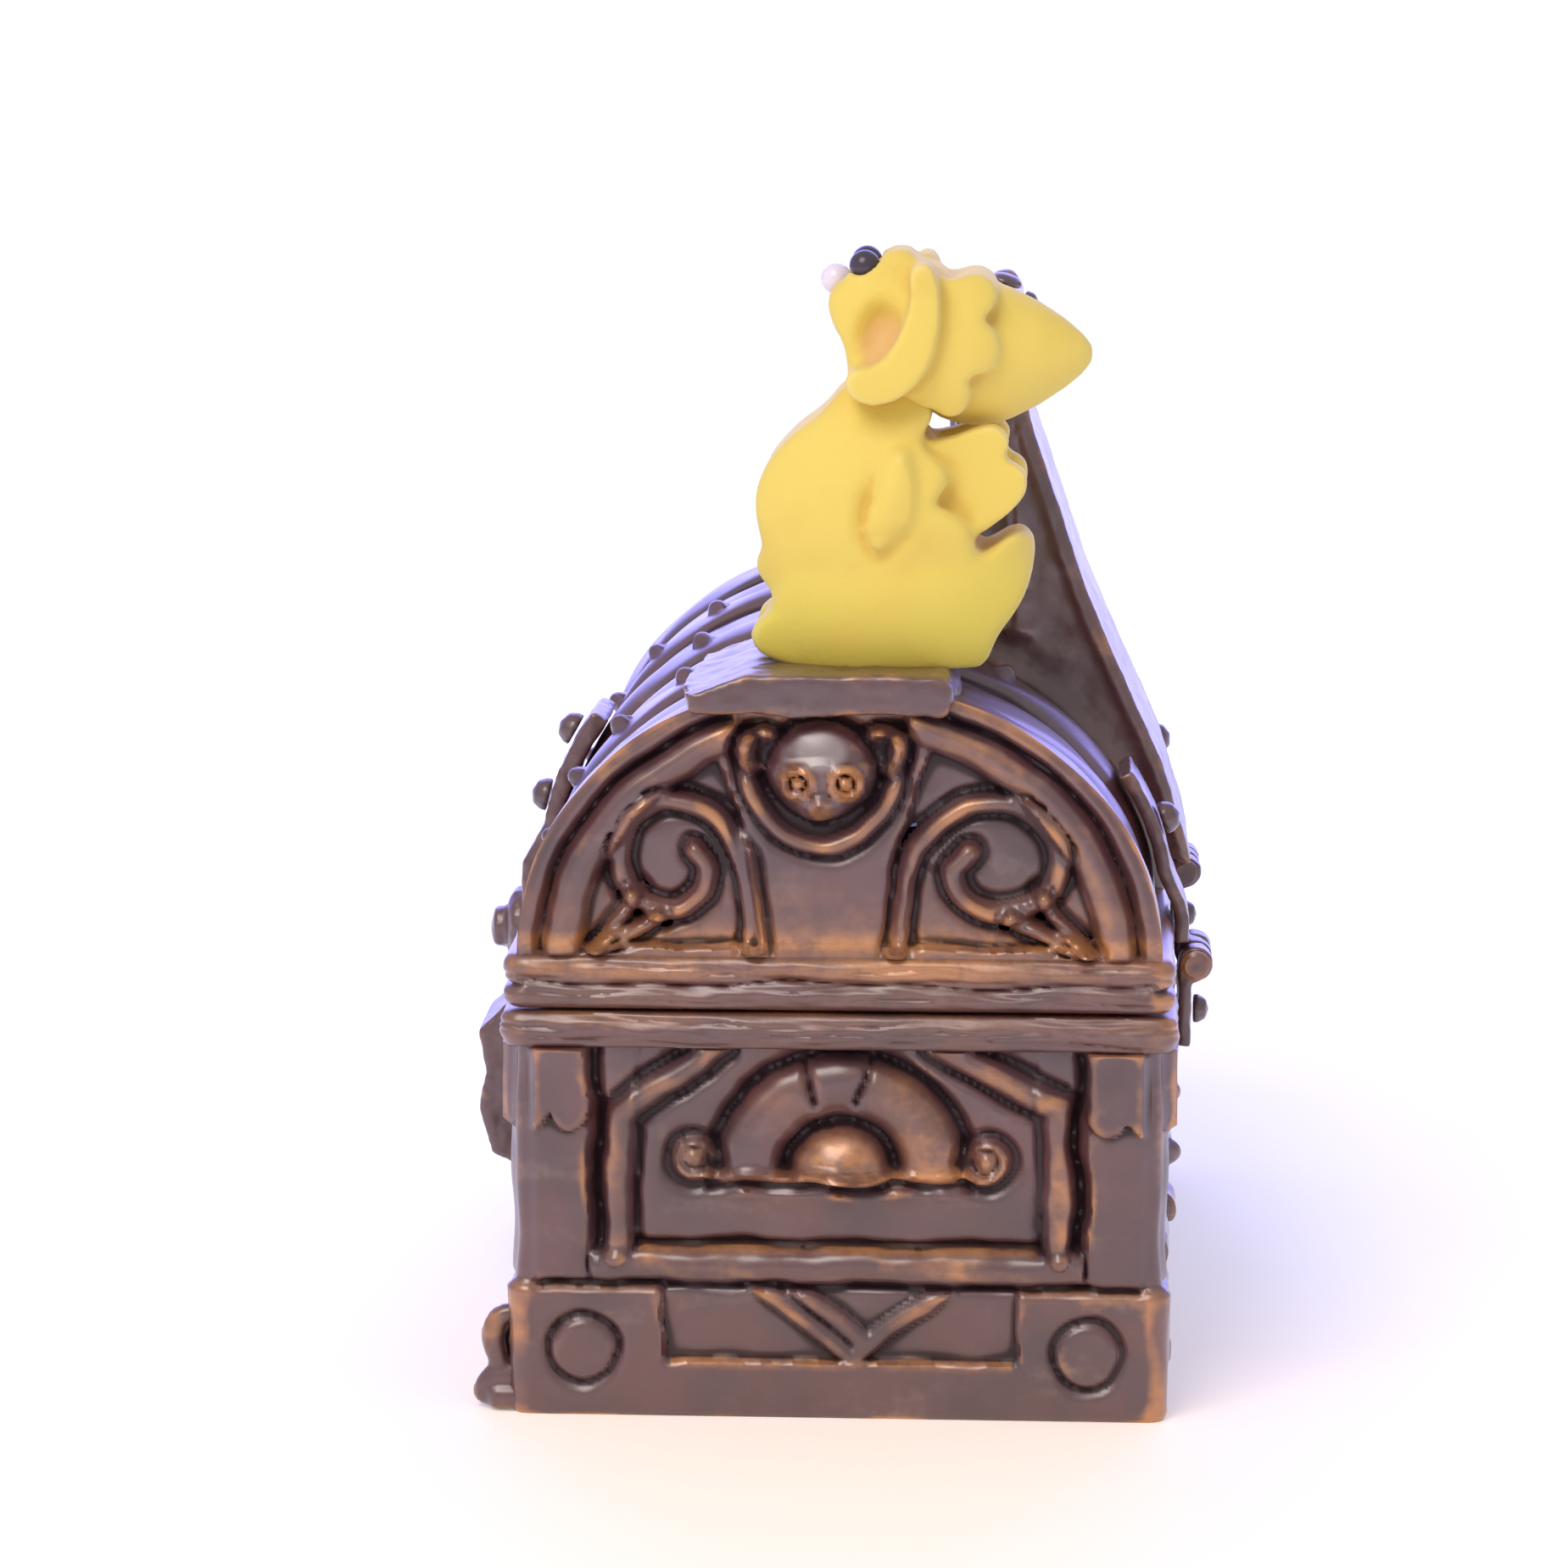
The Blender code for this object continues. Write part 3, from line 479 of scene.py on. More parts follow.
def waver(x, z, seed):
    """Slow sideways drift that makes ruled lines look drawn by hand."""
    return (
        0.5 * np.sin(0.37 * x + 0.61 * z + seed)
        + 0.3 * np.sin(0.83 * x - 0.47 * z + 2.1 * seed)
        + 0.2 * np.sin(1.7 * z + 1.3 * x + 0.7 * seed)
    )


def hand_cut(height, x, z):
    """The same relief with its sunk lines deeper in places and shallower in others."""
    return np.where(height < 0, height * (0.95 + 0.1 * waver(0.6 * x, 0.7 * z, 9.0)), height)


def cap_edge(x, inner, outer, drop):
    """The scalloped lower edge of a corner cap: two hanging lobes with a cusp between them."""
    share = np.clip((np.abs(x) - inner) / (outer - inner), 0, 1)
    return drop - 1.9 * np.abs(np.sin(math.tau * share)) ** 0.75


def corner_posts(x, z, inner, outer):
    """A post up each corner with its scalloped cap, and the wavy groove inside it."""
    wide = np.abs(x)
    height = ramp(wide, inner, inner + 0.5) * ramp(z, SKIRT_TOP, SKIRT_TOP + 0.5) * 0.55
    cap = ramp(wide, inner - 0.3, inner + 0.2) * ramp(z - cap_edge(x, inner, outer, 30.4), 0, 0.5)
    height += cap * 0.95 * (z < RIM_FOOT + 0.6)
    line = wide - (inner - 0.9) + 0.35 * np.sin(0.5 * z)
    height += groove(line, 0.45, 1.15) * field(x * 0, z, (-1, 1), (16.8, 37.4), 0.6)
    return height


def rail(x, z, reach):
    """The roll between the corner posts, just above the skirt, and the line under it."""
    bar = roll(np.abs(z - 15.1 - 0.15 * np.sin(0.3 * x)), 1.75, 1.0)
    return bar * field(x, z, (-reach, reach), (12, 18), 0.4) + groove(z - 13.25, 0.35, 0.7)


HANDLE_LOBES = ((-9.5, -1.8, 1.6), (-5.0, -2.0, 2.0), (0.4, -2.1, 2.2), (5.6, -1.9, 1.9), (9.8, -1.7, 1.5))


def handle_relief(points):
    """The half-round drop handle with its boss, collar and ringed lugs."""
    x, z = points[:, 0] - 0.2, points[:, 1] - 24.5
    reach = np.hypot(x, z * 1.03)
    upper = ramp(z, -0.5, 0.5)
    height = -0.9 * ramp(13.6 - reach, 0, 1.0) * upper
    height += groove(reach - 12.7, 0.75, 1.0) * upper
    height += roll(reach - 9.0, 3.3, 1.75) * upper
    height += groove(reach - 5.5, 0.6, 1.0) * upper
    height += roll(reach, 4.9, 3.1) * ramp(z, -1.6, 0.0)
    ledge = np.abs(z + 0.15 + 0.25 * np.sin(0.9 * x)) * (np.abs(x) < 13.4) + 9.0 * (np.abs(x) >= 13.4)
    height += roll(ledge, 0.7, 0.8) + groove(ledge - 1.1, 0.45, 0.7) * (z < 0)
    for centre, drop, size in HANDLE_LOBES:
        height += 0.7 * np.exp(-(((x - centre) / size) ** 2) - ((z - drop) / 0.9) ** 2)
    for low, high in (((-2.5, 7.1), (-3.3, 10.9)), ((1.7, 7.1), (2.9, 11.1))):
        height += groove(away_from(np.column_stack([x, z]), [low, high]), 0.32, 0.85)
    for side in (-1, 1):
        lug = np.hypot(x - side * 14.3, z - 1.3)
        height += roll(lug - 1.75, 0.55, 0.75) + roll(lug, 1.05, 0.8) + groove(lug - 2.75, 0.5, 0.75)
    return height


def box_end_relief(x, z):
    """The whole carved end of the box."""
    points = np.column_stack([x + 0.25 * waver(x, z, 1.0), z + 0.2 * waver(z, x, 4.0)])
    x, z = points.T
    height = corner_posts(x, z, 24.3, 31.8)
    height += rail(x, z, 24.4)
    panel = field(x, z, (-17.4, 17.9), (5.5, 13.4), 0.5)
    height -= panel * 1.15
    ridges = np.zeros_like(x)
    for path in ([(-9.0, 14.2), (1.2, 6.3)], [(-5.4, 14.2), (2.6, 8.0)], [(11.6, 14.2), (1.6, 6.3)]):
        ridges = np.maximum(ridges, roll(away_from(points, path), 1.15, 1.15))
    height += ridges * field(x, z, (-20, 20), (5.4, 13.3), 0.4)
    for centre in (-25.0, 24.5):
        disc = np.hypot(x - centre, z - 6.7)
        height += groove(disc - 3.45, 0.42, 0.75) + 0.2 * ramp(3.2 - disc, 0, 0.6)
    for side, bend, top in ((-1, 30.2, (-11.6, 37.4)), (1, 31.4, (9.8, 37.4))):
        path = [(side * 21.7, 16.4), (side * 21.5, bend), top]
        frame_line = away_from(points, path)
        height += roll(frame_line, 1.35, 1.15) + groove(frame_line - 1.9, 0.4, 0.75) * (z > 16.6)
    inside = field(x, z, (-19.9, 19.6), (17.1, 37.2), 0.4)
    height -= 0.35 * inside
    height += groove(z - 17.35 - 0.12 * np.sin(0.5 * x), 0.38, 0.95) * (np.abs(x) < 19.9)
    return hand_cut(height + handle_relief(points) * (z > 17), x, z)


def long_side_relief(y, z, studs):
    """The box's front or back: corner posts, rail, straps in line with the lid's ribs, and planks."""
    points = np.column_stack([y + 0.3 * waver(y, z, 2.0), z + 0.2 * waver(z, y, 5.0)])
    y, z = points.T
    height = corner_posts(y, z, 44.3, 51.8)
    height += rail(y, z, 44.4)
    for level in (23.6, 30.4):
        height += groove(z - level - 0.25 * np.sin(0.23 * y + level), 0.32, 0.55) * (np.abs(y) < 43)
    for centre in (-RIB_SPACING, 0.0, RIB_SPACING):
        gap = np.abs(y - centre - 0.2 * np.sin(0.4 * z))
        strap = ramp(2.9 - gap, 0, 0.45) * ramp(z, SKIRT_TOP, SKIRT_TOP + 0.4) * (z < RIM_FOOT + 0.4)
        height += strap * 1.1 + groove(gap - 3.4, 0.4, 0.7) * (z > 16.8)
        for level in studs:
            height += roll(np.hypot(y - centre, z - level), 1.4, 1.3)
    for centre in (-36.7, -12.2, 12.2, 36.7):
        block = field(y, z, (centre - 7.2, centre + 7.2), (3.4, 10.2), 0.5)
        height += groove(away_from(points, [(centre - 6.5, 6.8), (centre, 10.0), (centre + 6.5, 6.8),
                                            (centre, 3.6), (centre - 6.5, 6.8)]), 0.4, 0.7)
        height += block * 0.25
    return hand_cut(height, y, z)


SCROLL = [(-8.1, 46.0), (-8.5, 52.0), (-9.8, 57.2), (-13.0, 60.6), (-17.2, 61.4), (-20.6, 58.8), (-21.2, 54.8),
          (-19.2, 51.6), (-16.2, 50.6), (-13.6, 52.0), (-12.7, 54.8), (-13.9, 56.5)]
LEAF = [(-19.8, 52.4), (-20.8, 50.2), (-23.4, 47.2)]
LEAF_TAIL = [(-17.5, 50.0), (-19.8, 48.6), (-23.8, 46.6)]
MEDALLION = (-1.6, 64.4)
BROW_PATCH = ((-1.6, 66.6), (2.9, 2.1))


def lid_end_relief(x, z):
    """The lid's carved end: arch roll, scrolls, urn and the little animal's medallion."""
    points = np.column_stack([x + 0.2 * waver(x, z, 3.0), z + 0.2 * waver(z, x, 6.0)])
    x, z = points.T
    reach = np.hypot(x / VAULT_HALF, np.clip(z - LID_RIM_TOP, 0, None) / VAULT_RISE)
    inward = (1 - reach) * END_RADIUS
    height = groove(inward - 2.15, 0.45, 1.15) + 0.25 * ramp(1.9 - inward, 0, 0.6)
    floor = ramp(inward, 5.5, 6.3) * ramp(z, 46.9, 47.5)
    height -= 1.5 * floor
    height += roll(inward - 3.9, 1.75, 1.15)
    urn_side = 6.2 + 0.011 * (z - 46.0) ** 2 * (z > 46)
    urn = ramp(urn_side - np.abs(x + 1.55), -0.2, 0.5)
    height += 1.25 * urn * floor
    height += groove(np.abs(x + 1.55) - urn_side - 0.5, 0.5, 0.8) * (z > 46.9) * ramp(-z, -61, -58)
    for path, half, rise in ((SCROLL, 1.15, 1.75), (LEAF, 0.8, 1.2), (LEAF_TAIL, 0.9, 1.4)):
        line = curve_through(path)
        for mirrored in (False, True):
            drawn = np.column_stack([-4.1 - 1.2 * line[:, 0], line[:, 1]]) if mirrored else line
            gap = away_from(points, drawn)
            strand = roll(gap, half, rise) + groove(gap - half - 0.35, 0.35, 0.45)
            height += strand * (inward > 4.6) * (z > 46.4)
    keystone = field(x, z, (-10.4, 7.0), (65.4, 75), 0.4)
    niche = ramp(z, 63.0, 66.0) * ramp(8.4 - np.abs(x + 1.6), 0, 0.6)
    height = height * (1 - keystone) + keystone * (0.35 - 1.1 * niche)
    frame_line = away_from(points, curve_through([(-9.0, 67.6), (-8.4, 62.4), (-5.8, 58.6), (-1.7, 57.2),
                                                   (2.4, 58.6), (5.1, 62.4), (5.9, 67.6)]))
    height += roll(frame_line, 0.95, 1.1) + groove(frame_line - 1.25, 0.35, 0.5)
    return hand_cut(height, x, z) + animal_relief(points)


def animal_relief(points):
    """A small round-eared animal's head looking straight out."""
    x, z = points[:, 0] - MEDALLION[0], points[:, 1] - MEDALLION[1]
    head = roll(np.hypot(x / (5.3 + 0.12 * z), (z - 0.2) / 4.9), 1.0, 2.1)
    height = head + groove(np.hypot(x / 5.6, (z - 0.2) / 5.2) - 1.0, 0.09, 0.9)
    for side in (-1, 1):
        ear = np.hypot(x - side * 5.9, z - 2.2)
        apart = ramp(np.hypot(x / 5.4, (z - 0.2) / 5.0), 0.98, 1.06)
        height += (roll(ear, 2.5, 1.7) - 1.5 * roll(ear, 1.5, 1.0) + groove(ear - 2.8, 0.3, 0.5)) * apart
        eye = np.hypot(x - side * 2.3, z + 0.8)
        height += roll(eye - 1.25, 0.5, 0.75) + roll(eye, 0.7, 0.7) + groove(eye - 0.85, 0.2, 0.5)
    height += roll(np.hypot(x / 2.2, (z + 3.4) / 1.6), 1.0, 0.9)
    height += roll(np.hypot(x, (z + 2.6) / 0.7), 0.75, 0.5)
    mouth = [(-1.5, -3.4), (-0.7, -4.1), (0, -3.6), (0.7, -4.1), (1.5, -3.4)]
    return height + groove(away_from(np.column_stack([x, z]), mouth), 0.22, 0.5)


def rim_profile(z, along, low, high, out, lines):
    """Rolled mouldings between two heights, uneven along their length, with fine lines drawn in them."""
    drift = 0.26 * np.sin(0.19 * along + lines) + 0.17 * np.sin(0.47 * along + 2 * lines)
    height = np.zeros_like(z)
    edges = np.linspace(low, high, lines + 1)
    for i, (foot, head) in enumerate(zip(edges, edges[1:])):
        foot = foot + drift * (i > 0)
        head = head + drift * (i < lines - 1)
        height = np.maximum(height, roll(z - (foot + head) / 2, (head - foot) / 2 * 1.06, out))
    for i, share in enumerate((0.2, 0.36, 0.62, 0.8)):
        line = low + (high - low) * share
        line = line + 0.3 * np.sin(0.13 * along + 1.7 * i) + 0.12 * np.sin(0.6 * along + i)
        height += groove(z - line, 0.16, 0.24) * (0.55 + 0.45 * np.sin(0.29 * along + 2.3 * i))
    return height


def line_at(value, level, half):
    return np.exp(-(((value - level) / half) ** 2))


def box_gilt_and_highlight(x, z):
    """Where bronze is rubbed on the box's ends, partly painted highlight on up-facing ledges and the crescent's
    right, from 0 to 1.
    """
    reach = np.hypot(x - 0.2, (z - 24.5) * 1.03)
    upper = ramp(z, 23.8, 24.8)
    gilt_and_highlight = 0.85 * ramp(5.2 - reach, 0, 2.5) * upper
    # Painted highlight: more bronze on the crescent's right half than on its left.
    gilt_and_highlight += 0.6 * roll(reach - 9.2, 3.0, 1.0) * ramp(x, 1.0, 8.0) * upper
    gilt_and_highlight += 0.25 * roll(reach - 9.2, 3.0, 1.0) * ramp(-x, 1.0, 6.0) * ramp(z, 28.0, 33.0)
    # Painted highlight: bronze lines along the up-facing ledges and steps.
    gilt_and_highlight += 0.8 * line_at(z, 24.2, 0.6) * (np.abs(x) < 13)
    gilt_and_highlight += 0.9 * line_at(z, 16.95, 0.4) * (np.abs(x) < 19.5)
    gilt_and_highlight += 0.9 * line_at(z, 5.6, 0.4) * (x > -16.5) * (x < 17.2)
    gilt_and_highlight += 0.5 * line_at(z, 12.9, 0.5) * (np.abs(x) > 18)
    gilt_and_highlight += 0.5 * line_at(np.abs(x - 0.2), 14.4, 1.6) * line_at(z, 25.8, 1.6)
    return np.clip(gilt_and_highlight, 0, 1)


def lid_gilt_and_highlight(x, z):
    """Where bronze is rubbed on the lid's ends, partly painted highlight on the up-facing foot step and the arch
    roll's right, from 0 to 1.
    """
    # Partly painted highlight: a bronze line along the up-facing step at the foot; the lower part gets more
    # bronze.
    gilt_and_highlight = 0.6 * line_at(z, 47.6, 0.9) + 0.28 * ramp(-z, -56, -47)
    reach = np.hypot(x / VAULT_HALF, (z - LID_RIM_TOP) / VAULT_RISE)
    # Painted highlight: bronze on the arch roll's right side only.
    gilt_and_highlight += 0.35 * line_at((1 - reach) * END_RADIUS, 4.6, 0.6) * (x > 0)
    eyes = np.hypot(np.abs(x - MEDALLION[0]) - 2.3, z - MEDALLION[1] + 0.8)
    gilt_and_highlight += ramp(2.0 - eyes, 0, 0.4)
    gilt_and_highlight += 0.7 * ramp(1.5 - np.hypot(x - MEDALLION[0], z - MEDALLION[1] + 3.5), 0, 0.6)
    gilt_and_highlight += 0.35 * line_at(z, 69.6, 0.8) * (np.abs(x + 1.6) < 9)
    return np.clip(gilt_and_highlight, 0, 1)


# --- Shells ---


def sleeve(half, radius, low, high, row_step, end_step, side_step):
    """A closed block with rounded upright corners, its walls divided into a fine grid."""
    bm = bmesh.new()
    corners = ((-1, -1), (1, -1), (1, 1), (-1, 1))
    ring = [bm.verts.new((sx * half[0], sy * half[1], low)) for sx, sy in corners]
    bm.faces.new(ring)
    bmesh.ops.bevel(bm, geom=ring, offset=radius, affect="VERTICES", segments=4, profile=0.5, material=-1)
    bmesh.ops.delete(bm, geom=bm.faces[:], context="FACES_ONLY")
    long_edges = [edge for edge in bm.edges if edge.calc_length() > 3 * radius]
    ends = [edge for edge in long_edges if abs(edge.verts[0].co.y - edge.verts[1].co.y) < 0.01]
    sides = [edge for edge in long_edges if edge not in ends]
    bmesh.ops.subdivide_edges(bm, edges=ends, cuts=int(2 * half[0] / end_step))
    bmesh.ops.subdivide_edges(bm, edges=sides, cuts=int(2 * half[1] / side_step))
    rows = max(2, round((high - low) / row_step))
    edges = bm.edges[:]
    for _ in range(rows):
        verts, edges = drawn_out(bm, edges)
        bmesh.ops.translate(bm, vec=(0, 0, (high - low) / rows), verts=verts)
    bmesh.ops.edgeloop_fill(bm, edges=[edge for edge in bm.edges if edge.is_boundary])
    bmesh.ops.recalc_face_normals(bm, faces=bm.faces)
    return work_object(bm)


def outward(places, half, radius):
    """The level direction straight out of a rounded block at each point, and which face it is on."""
    over_x = np.abs(places[:, 0]) - (half[0] - radius)
    over_y = np.abs(places[:, 1]) - (half[1] - radius)
    way = np.column_stack([
        np.where(over_x > 0, over_x, 0) * np.sign(places[:, 0]),
        np.where(over_y > 0, over_y, 0) * np.sign(places[:, 1]),
    ])
    length = np.hypot(way[:, 0], way[:, 1])
    way /= np.maximum(length, 1e-6)[:, None]
    on_wall = length > radius * 0.9
    return way, on_wall & (np.abs(way[:, 1]) > 0.95), on_wall & (np.abs(way[:, 0]) > 0.95), on_wall


def push_out(obj, half, radius, profile, end_relief, side_relief):
    """Moves a block's walls outwards by a profile all round and by relief on its faces."""
    mesh = obj.data
    places = positions(mesh)
    way, ends, sides, walls = outward(places, half, radius)
    x, y, z = places.T
    along = np.where(ends, x, y)
    push = profile(z, along)
    fade = ramp(half[0] - radius - np.abs(x), 0, 1.2)
    push[ends] += (end_relief(x, z, y) * fade)[ends]
    fade = ramp(half[1] - radius - np.abs(y), 0, 1.2)
    push[sides] += (side_relief(y, z, x) * fade)[sides]
    places[walls, :2] += way[walls] * push[walls][:, None]
    place(mesh, places)


def box_profile(z, along):
    """Skirt, worn foot and a wall that isn't quite flat, going up."""
    skirt = SKIRT_OUT * ramp(SKIRT_TOP + 0.3 - z, 0, 0.7)
    worn_foot = -0.35 * ramp(0.7 - z, 0, 0.7)
    uneven = 0.12 * np.sin(0.31 * along + 0.4 * z) + 0.07 * np.sin(0.9 * along - 0.7 * z)
    return skirt + worn_foot + uneven * ramp(z, 0, 2)


def foot_claws(bm):
    """The curled moulded feet at the two front corners."""
    for side in (-1, 1):
        y = side * 50.0
        tube(bm, [(-31.5, y, 3.4), (-33.9, y, 3.2), (-35.3, y, 1.6), (-34.6, y, 0.9)], [1.2, 1.3, 1.0, 0.8])
        slab(bm, (-34.6, y - 1.9, 0.0), (-31.0, y + 1.9, 2.4), 0.8)
        tube(bm, [(-31.8, y, 9.9), (-33.5, y, 9.2), (-34.2, y, 7.2), (-33.6, y, 4.6)], [0.9, 1.1, 1.2, 1.0])
        tube(bm, [(-32.6, y - side * 2.6, 8.6), (-33.6, y - side * 2.8, 6.4), (-33.2, y - side * 2.4, 4.2)],
             [0.7, 0.9, 0.7])


def painted_box(sizes):
    radius = 1.1
    obj = sleeve(BODY_HALF, radius, 0.0, BOX_TOP - 0.5, sizes.end_step * 1.1, sizes.end_step, sizes.side_step)

    def end_relief(x, z, y):
        height = box_end_relief(x, z) * (z < RIM_FOOT)
        inlet = np.hypot(x - STONE_LOW.x - 4.6, z - 9.5)
        return height * np.where(y > 0, ramp(inlet, 5.0, 7.0), 1.0) * sizes.relief

    def side_relief(y, z, x):
        height = long_side_relief(y, z, (20.5, 27.0, 33.4)) * (z < RIM_FOOT)
        clear_of_lock = np.where(x < 0, ramp(np.hypot(y / 8.5, (z - 22.5) / 10.5), 0.95, 1.15), 1.0)
        clear_of_hinge = np.where(x > 0, ramp(np.abs(np.abs(y) - RIB_SPACING), 5.4, 6.4), 1.0)
        clear_of_hinge = np.where(z > 31.5, clear_of_hinge, 1.0)
        return np.minimum(height, 20) * clear_of_lock * clear_of_hinge * sizes.relief

    push_out(obj, BODY_HALF, radius, box_profile, end_relief, side_relief)
    inner = (BODY_HALF[0] - BOX_WALL, BODY_HALF[1] - BOX_WALL)
    hollow = bmesh.new()
    slab(hollow, (-inner[0], -inner[1], FLOOR_THICKNESS), (inner[0], inner[1], BOX_TOP + 2))
    seat = bmesh.new()
    slab(seat, (-inner[0] - 1.3, -inner[1] - 1.3, -2), (inner[0] + 1.3, inner[1] + 1.3, FLOOR_THICKNESS + 0.01))
    claws = bmesh.new()
    foot_claws(claws)
    claw_skin = bpy.data.objects.new("claws", skinned(claws, sizes.skin_voxel, 2))
    bpy.context.scene.collection.objects.link(claw_skin)
    cuts = [(work_object(cut), "DIFFERENCE") for cut in (hollow, seat)]
    return combined(obj, (claw_skin, "UNION"), *cuts)


def arch(share, grow=0.0):
    """The vault's outline, with short upright feet; share runs from the back foot to the front one."""
    foot = 0.03
    angle = np.clip((share - foot) / (1 - 2 * foot), 0, 1) * math.pi
    drop = 2.4 * np.clip(np.maximum(foot - share, share - (1 - foot)) / foot, 0, 1)
    x = np.cos(angle) * (VAULT_HALF + grow)
    z = LID_RIM_TOP + np.sin(angle) * (VAULT_RISE + grow) - drop
    return x, z, angle


def rib_height(y, angle, rise):
    """Round-backed ribs across the vault, with the skin bulging between. 0 is a rib's top."""
    height = np.full_like(y, -rise)
    for k in range(-2, 3):
        bend = 0.3 * np.sin(2.6 * angle + 2 * k) + 0.15 * np.sin(7 * angle + k)
        gap = np.abs(y - k * RIB_SPACING - bend * (abs(k) < 2))
        height = np.maximum(height, rise * (np.sqrt(np.clip(1 - (gap / 4.6) ** 2, 0, 1)) - 1))
        height += groove(gap - 4.9, 0.5, 0.35)
    between = np.abs(np.mod(y + RIB_SPACING / 2, RIB_SPACING) - RIB_SPACING / 2) - RIB_SPACING / 2
    height = np.maximum(height, -rise + 0.75 * (np.clip(1 - (between / 6.6) ** 2, 0, 1)) ** 0.7)
    edge = VAULT_END - np.abs(y)
    return np.maximum(height, rise * (ramp(4.4 - edge, 0, 0.6) - 1))


def vault_block(sizes):
    """The vault as a closed block with carved ends and ribs."""
    bm = bmesh.new()
    columns = int(86 / sizes.end_step)
    rows = int(2 * VAULT_END / sizes.side_step)
    bmesh.ops.create_grid(bm, x_segments=columns, y_segments=rows, size=0.5)
    share = bm.verts.layers.float.new("share")
    row = bm.verts.layers.float.new("row")
    for vert in bm.verts:
        vert[share] = vert.co.x + 0.5
        vert[row] = 0.0
        vert.co.y *= 2 * VAULT_END
    ends = {}
    for side in (-1, 1):
        ends[side] = [e for e in bm.edges if all(abs(v.co.y - side * VAULT_END) < 1e-3 for v in e.verts)]
    end_rows = int(VAULT_RISE / sizes.end_step)
    for side, edges in ends.items():
        for i in range(end_rows):
            verts, edges = drawn_out(bm, edges)
            for vert in verts:
                vert[row] = (i + 1) / end_rows
    bmesh.ops.edgeloop_fill(bm, edges=[e for e in bm.edges if e.is_boundary])
    count = len(bm.verts)
    shares = np.fromiter((v[share] for v in bm.verts), float, count)
    down = np.fromiter((v[row] for v in bm.verts), float, count)
    y = np.fromiter((v.co.y for v in bm.verts), float, count)
    x, z, angle = arch(shares)
    grow = rib_height(y, angle, sizes.rib_rise)
    grow += 0.14 * np.sin(0.35 * y + 3 * angle) + 0.09 * np.sin(11 * angle + 0.8 * y)
    for k in (-1, 0, 1):
        for turn in np.radians([14, 30, 46, 60, 122, 138, 152, 166]):
            gap = np.hypot(y - k * RIB_SPACING, (angle - turn) * VAULT_HALF * 1.05)
            under_fitting = (k == 0 and (turn > 2.3 or turn < 1.3)) or (abs(k) == 1 and turn < 0.85)
            if not under_fitting:
                grow = np.maximum(grow, roll(gap, sizes.stud_radius, 1.2) - 9.0 * (gap > sizes.stud_radius))
    x, z, _ = arch(shares, np.where(down > 0, 0, grow))
    base_x = VAULT_HALF * (1 - 2 * shares)
    base_z = LID_RIM_TOP - 2.4
    x = x + (base_x - x) * down
    z = z + (base_z - z) * down
    inward = (1 - np.hypot(x / VAULT_HALF, np.clip(z - LID_RIM_TOP, 0, None) / VAULT_RISE)) * END_RADIUS
    carved = lid_end_relief(x, z) * ramp(inward, 0.1, 0.9) * ramp(z, LID_RIM_TOP - 0.3, LID_RIM_TOP + 0.5)
    y = y + np.sign(y) * np.where(down > 0, carved * sizes.relief, 0)
    for vert, place_to in zip(bm.verts, np.column_stack([x, y, z])):
        vert.co = place_to
    bmesh.ops.remove_doubles(bm, verts=bm.verts, dist=1e-4)
    bmesh.ops.recalc_face_normals(bm, faces=bm.faces)
    return work_object(bm)


def vault_hollow():
    """The plain space under the vault."""
    inner = -RIB_RISE - VAULT_WALL
    end = VAULT_END - VAULT_WALL
    x, z, _ = arch(np.linspace(0, 1, 61), inner)
    outline = [(x[0], LID_LOW.z - 3), *zip(x, z), (x[-1], LID_LOW.z - 3)]
    return work_object(thick_outline(outline, -end, 2 * end))


def moulding(sizes, half, low, high, lines, wall, gilt_and_highlight):
    """A ring of rolled moulding round the chest."""
    radius, out = 1.3, 1.0
    obj = sleeve(half, radius, low, high, 0.2, sizes.end_step * 1.4, sizes.side_step)

    def profile(z, along):
        return rim_profile(z, along, low, high, out, lines)

    def level(a, z, b):
        return 0.16 * waver(a, 3 * z, 7.0) * ramp(z, low, low + 1) * ramp(high - z, 0, 1)

    push_out(obj, half, radius, profile, level, level)
    inner = (half[0] + out - wall, half[1] + out - wall)
    hollow = bmesh.new()
    slab(hollow, (-inner[0], -inner[1], low - 1), (inner[0], inner[1], high + 1))
    mesh = combined(obj, (work_object(hollow), "DIFFERENCE"))
    places = positions(mesh)
    along = places[:, 0] * (np.abs(places[:, 1]) > half[1]) + places[:, 1] * (np.abs(places[:, 0]) > half[0])
    # Rubbed bronze, stronger toward the top of the rolls: partly painted highlight.
    upper = ramp(places[:, 2], low + 0.5 * (high - low), low + 0.75 * (high - low))
    mark(mesh, "gilt_and_highlight", gilt_and_highlight * (0.2 + 0.8 * upper) * (0.75 + 0.25 * np.sin(0.21 * along)))
    return mesh


def painted_lid(sizes):
    return combined(vault_block(sizes), (vault_hollow(), "DIFFERENCE"))


# --- Modelled pieces ---


def cad_solid(node):
    """A bmesh of a CAD node in millimetres, its loose triangles joined up."""
    bm = bmesh.new()
    bm.from_mesh(frame["nodes"][node].data)
    bmesh.ops.remove_doubles(bm, verts=bm.verts, dist=1e-6)
    bmesh.ops.scale(bm, vec=(1 / MM,) * 3, verts=bm.verts)
    return bm


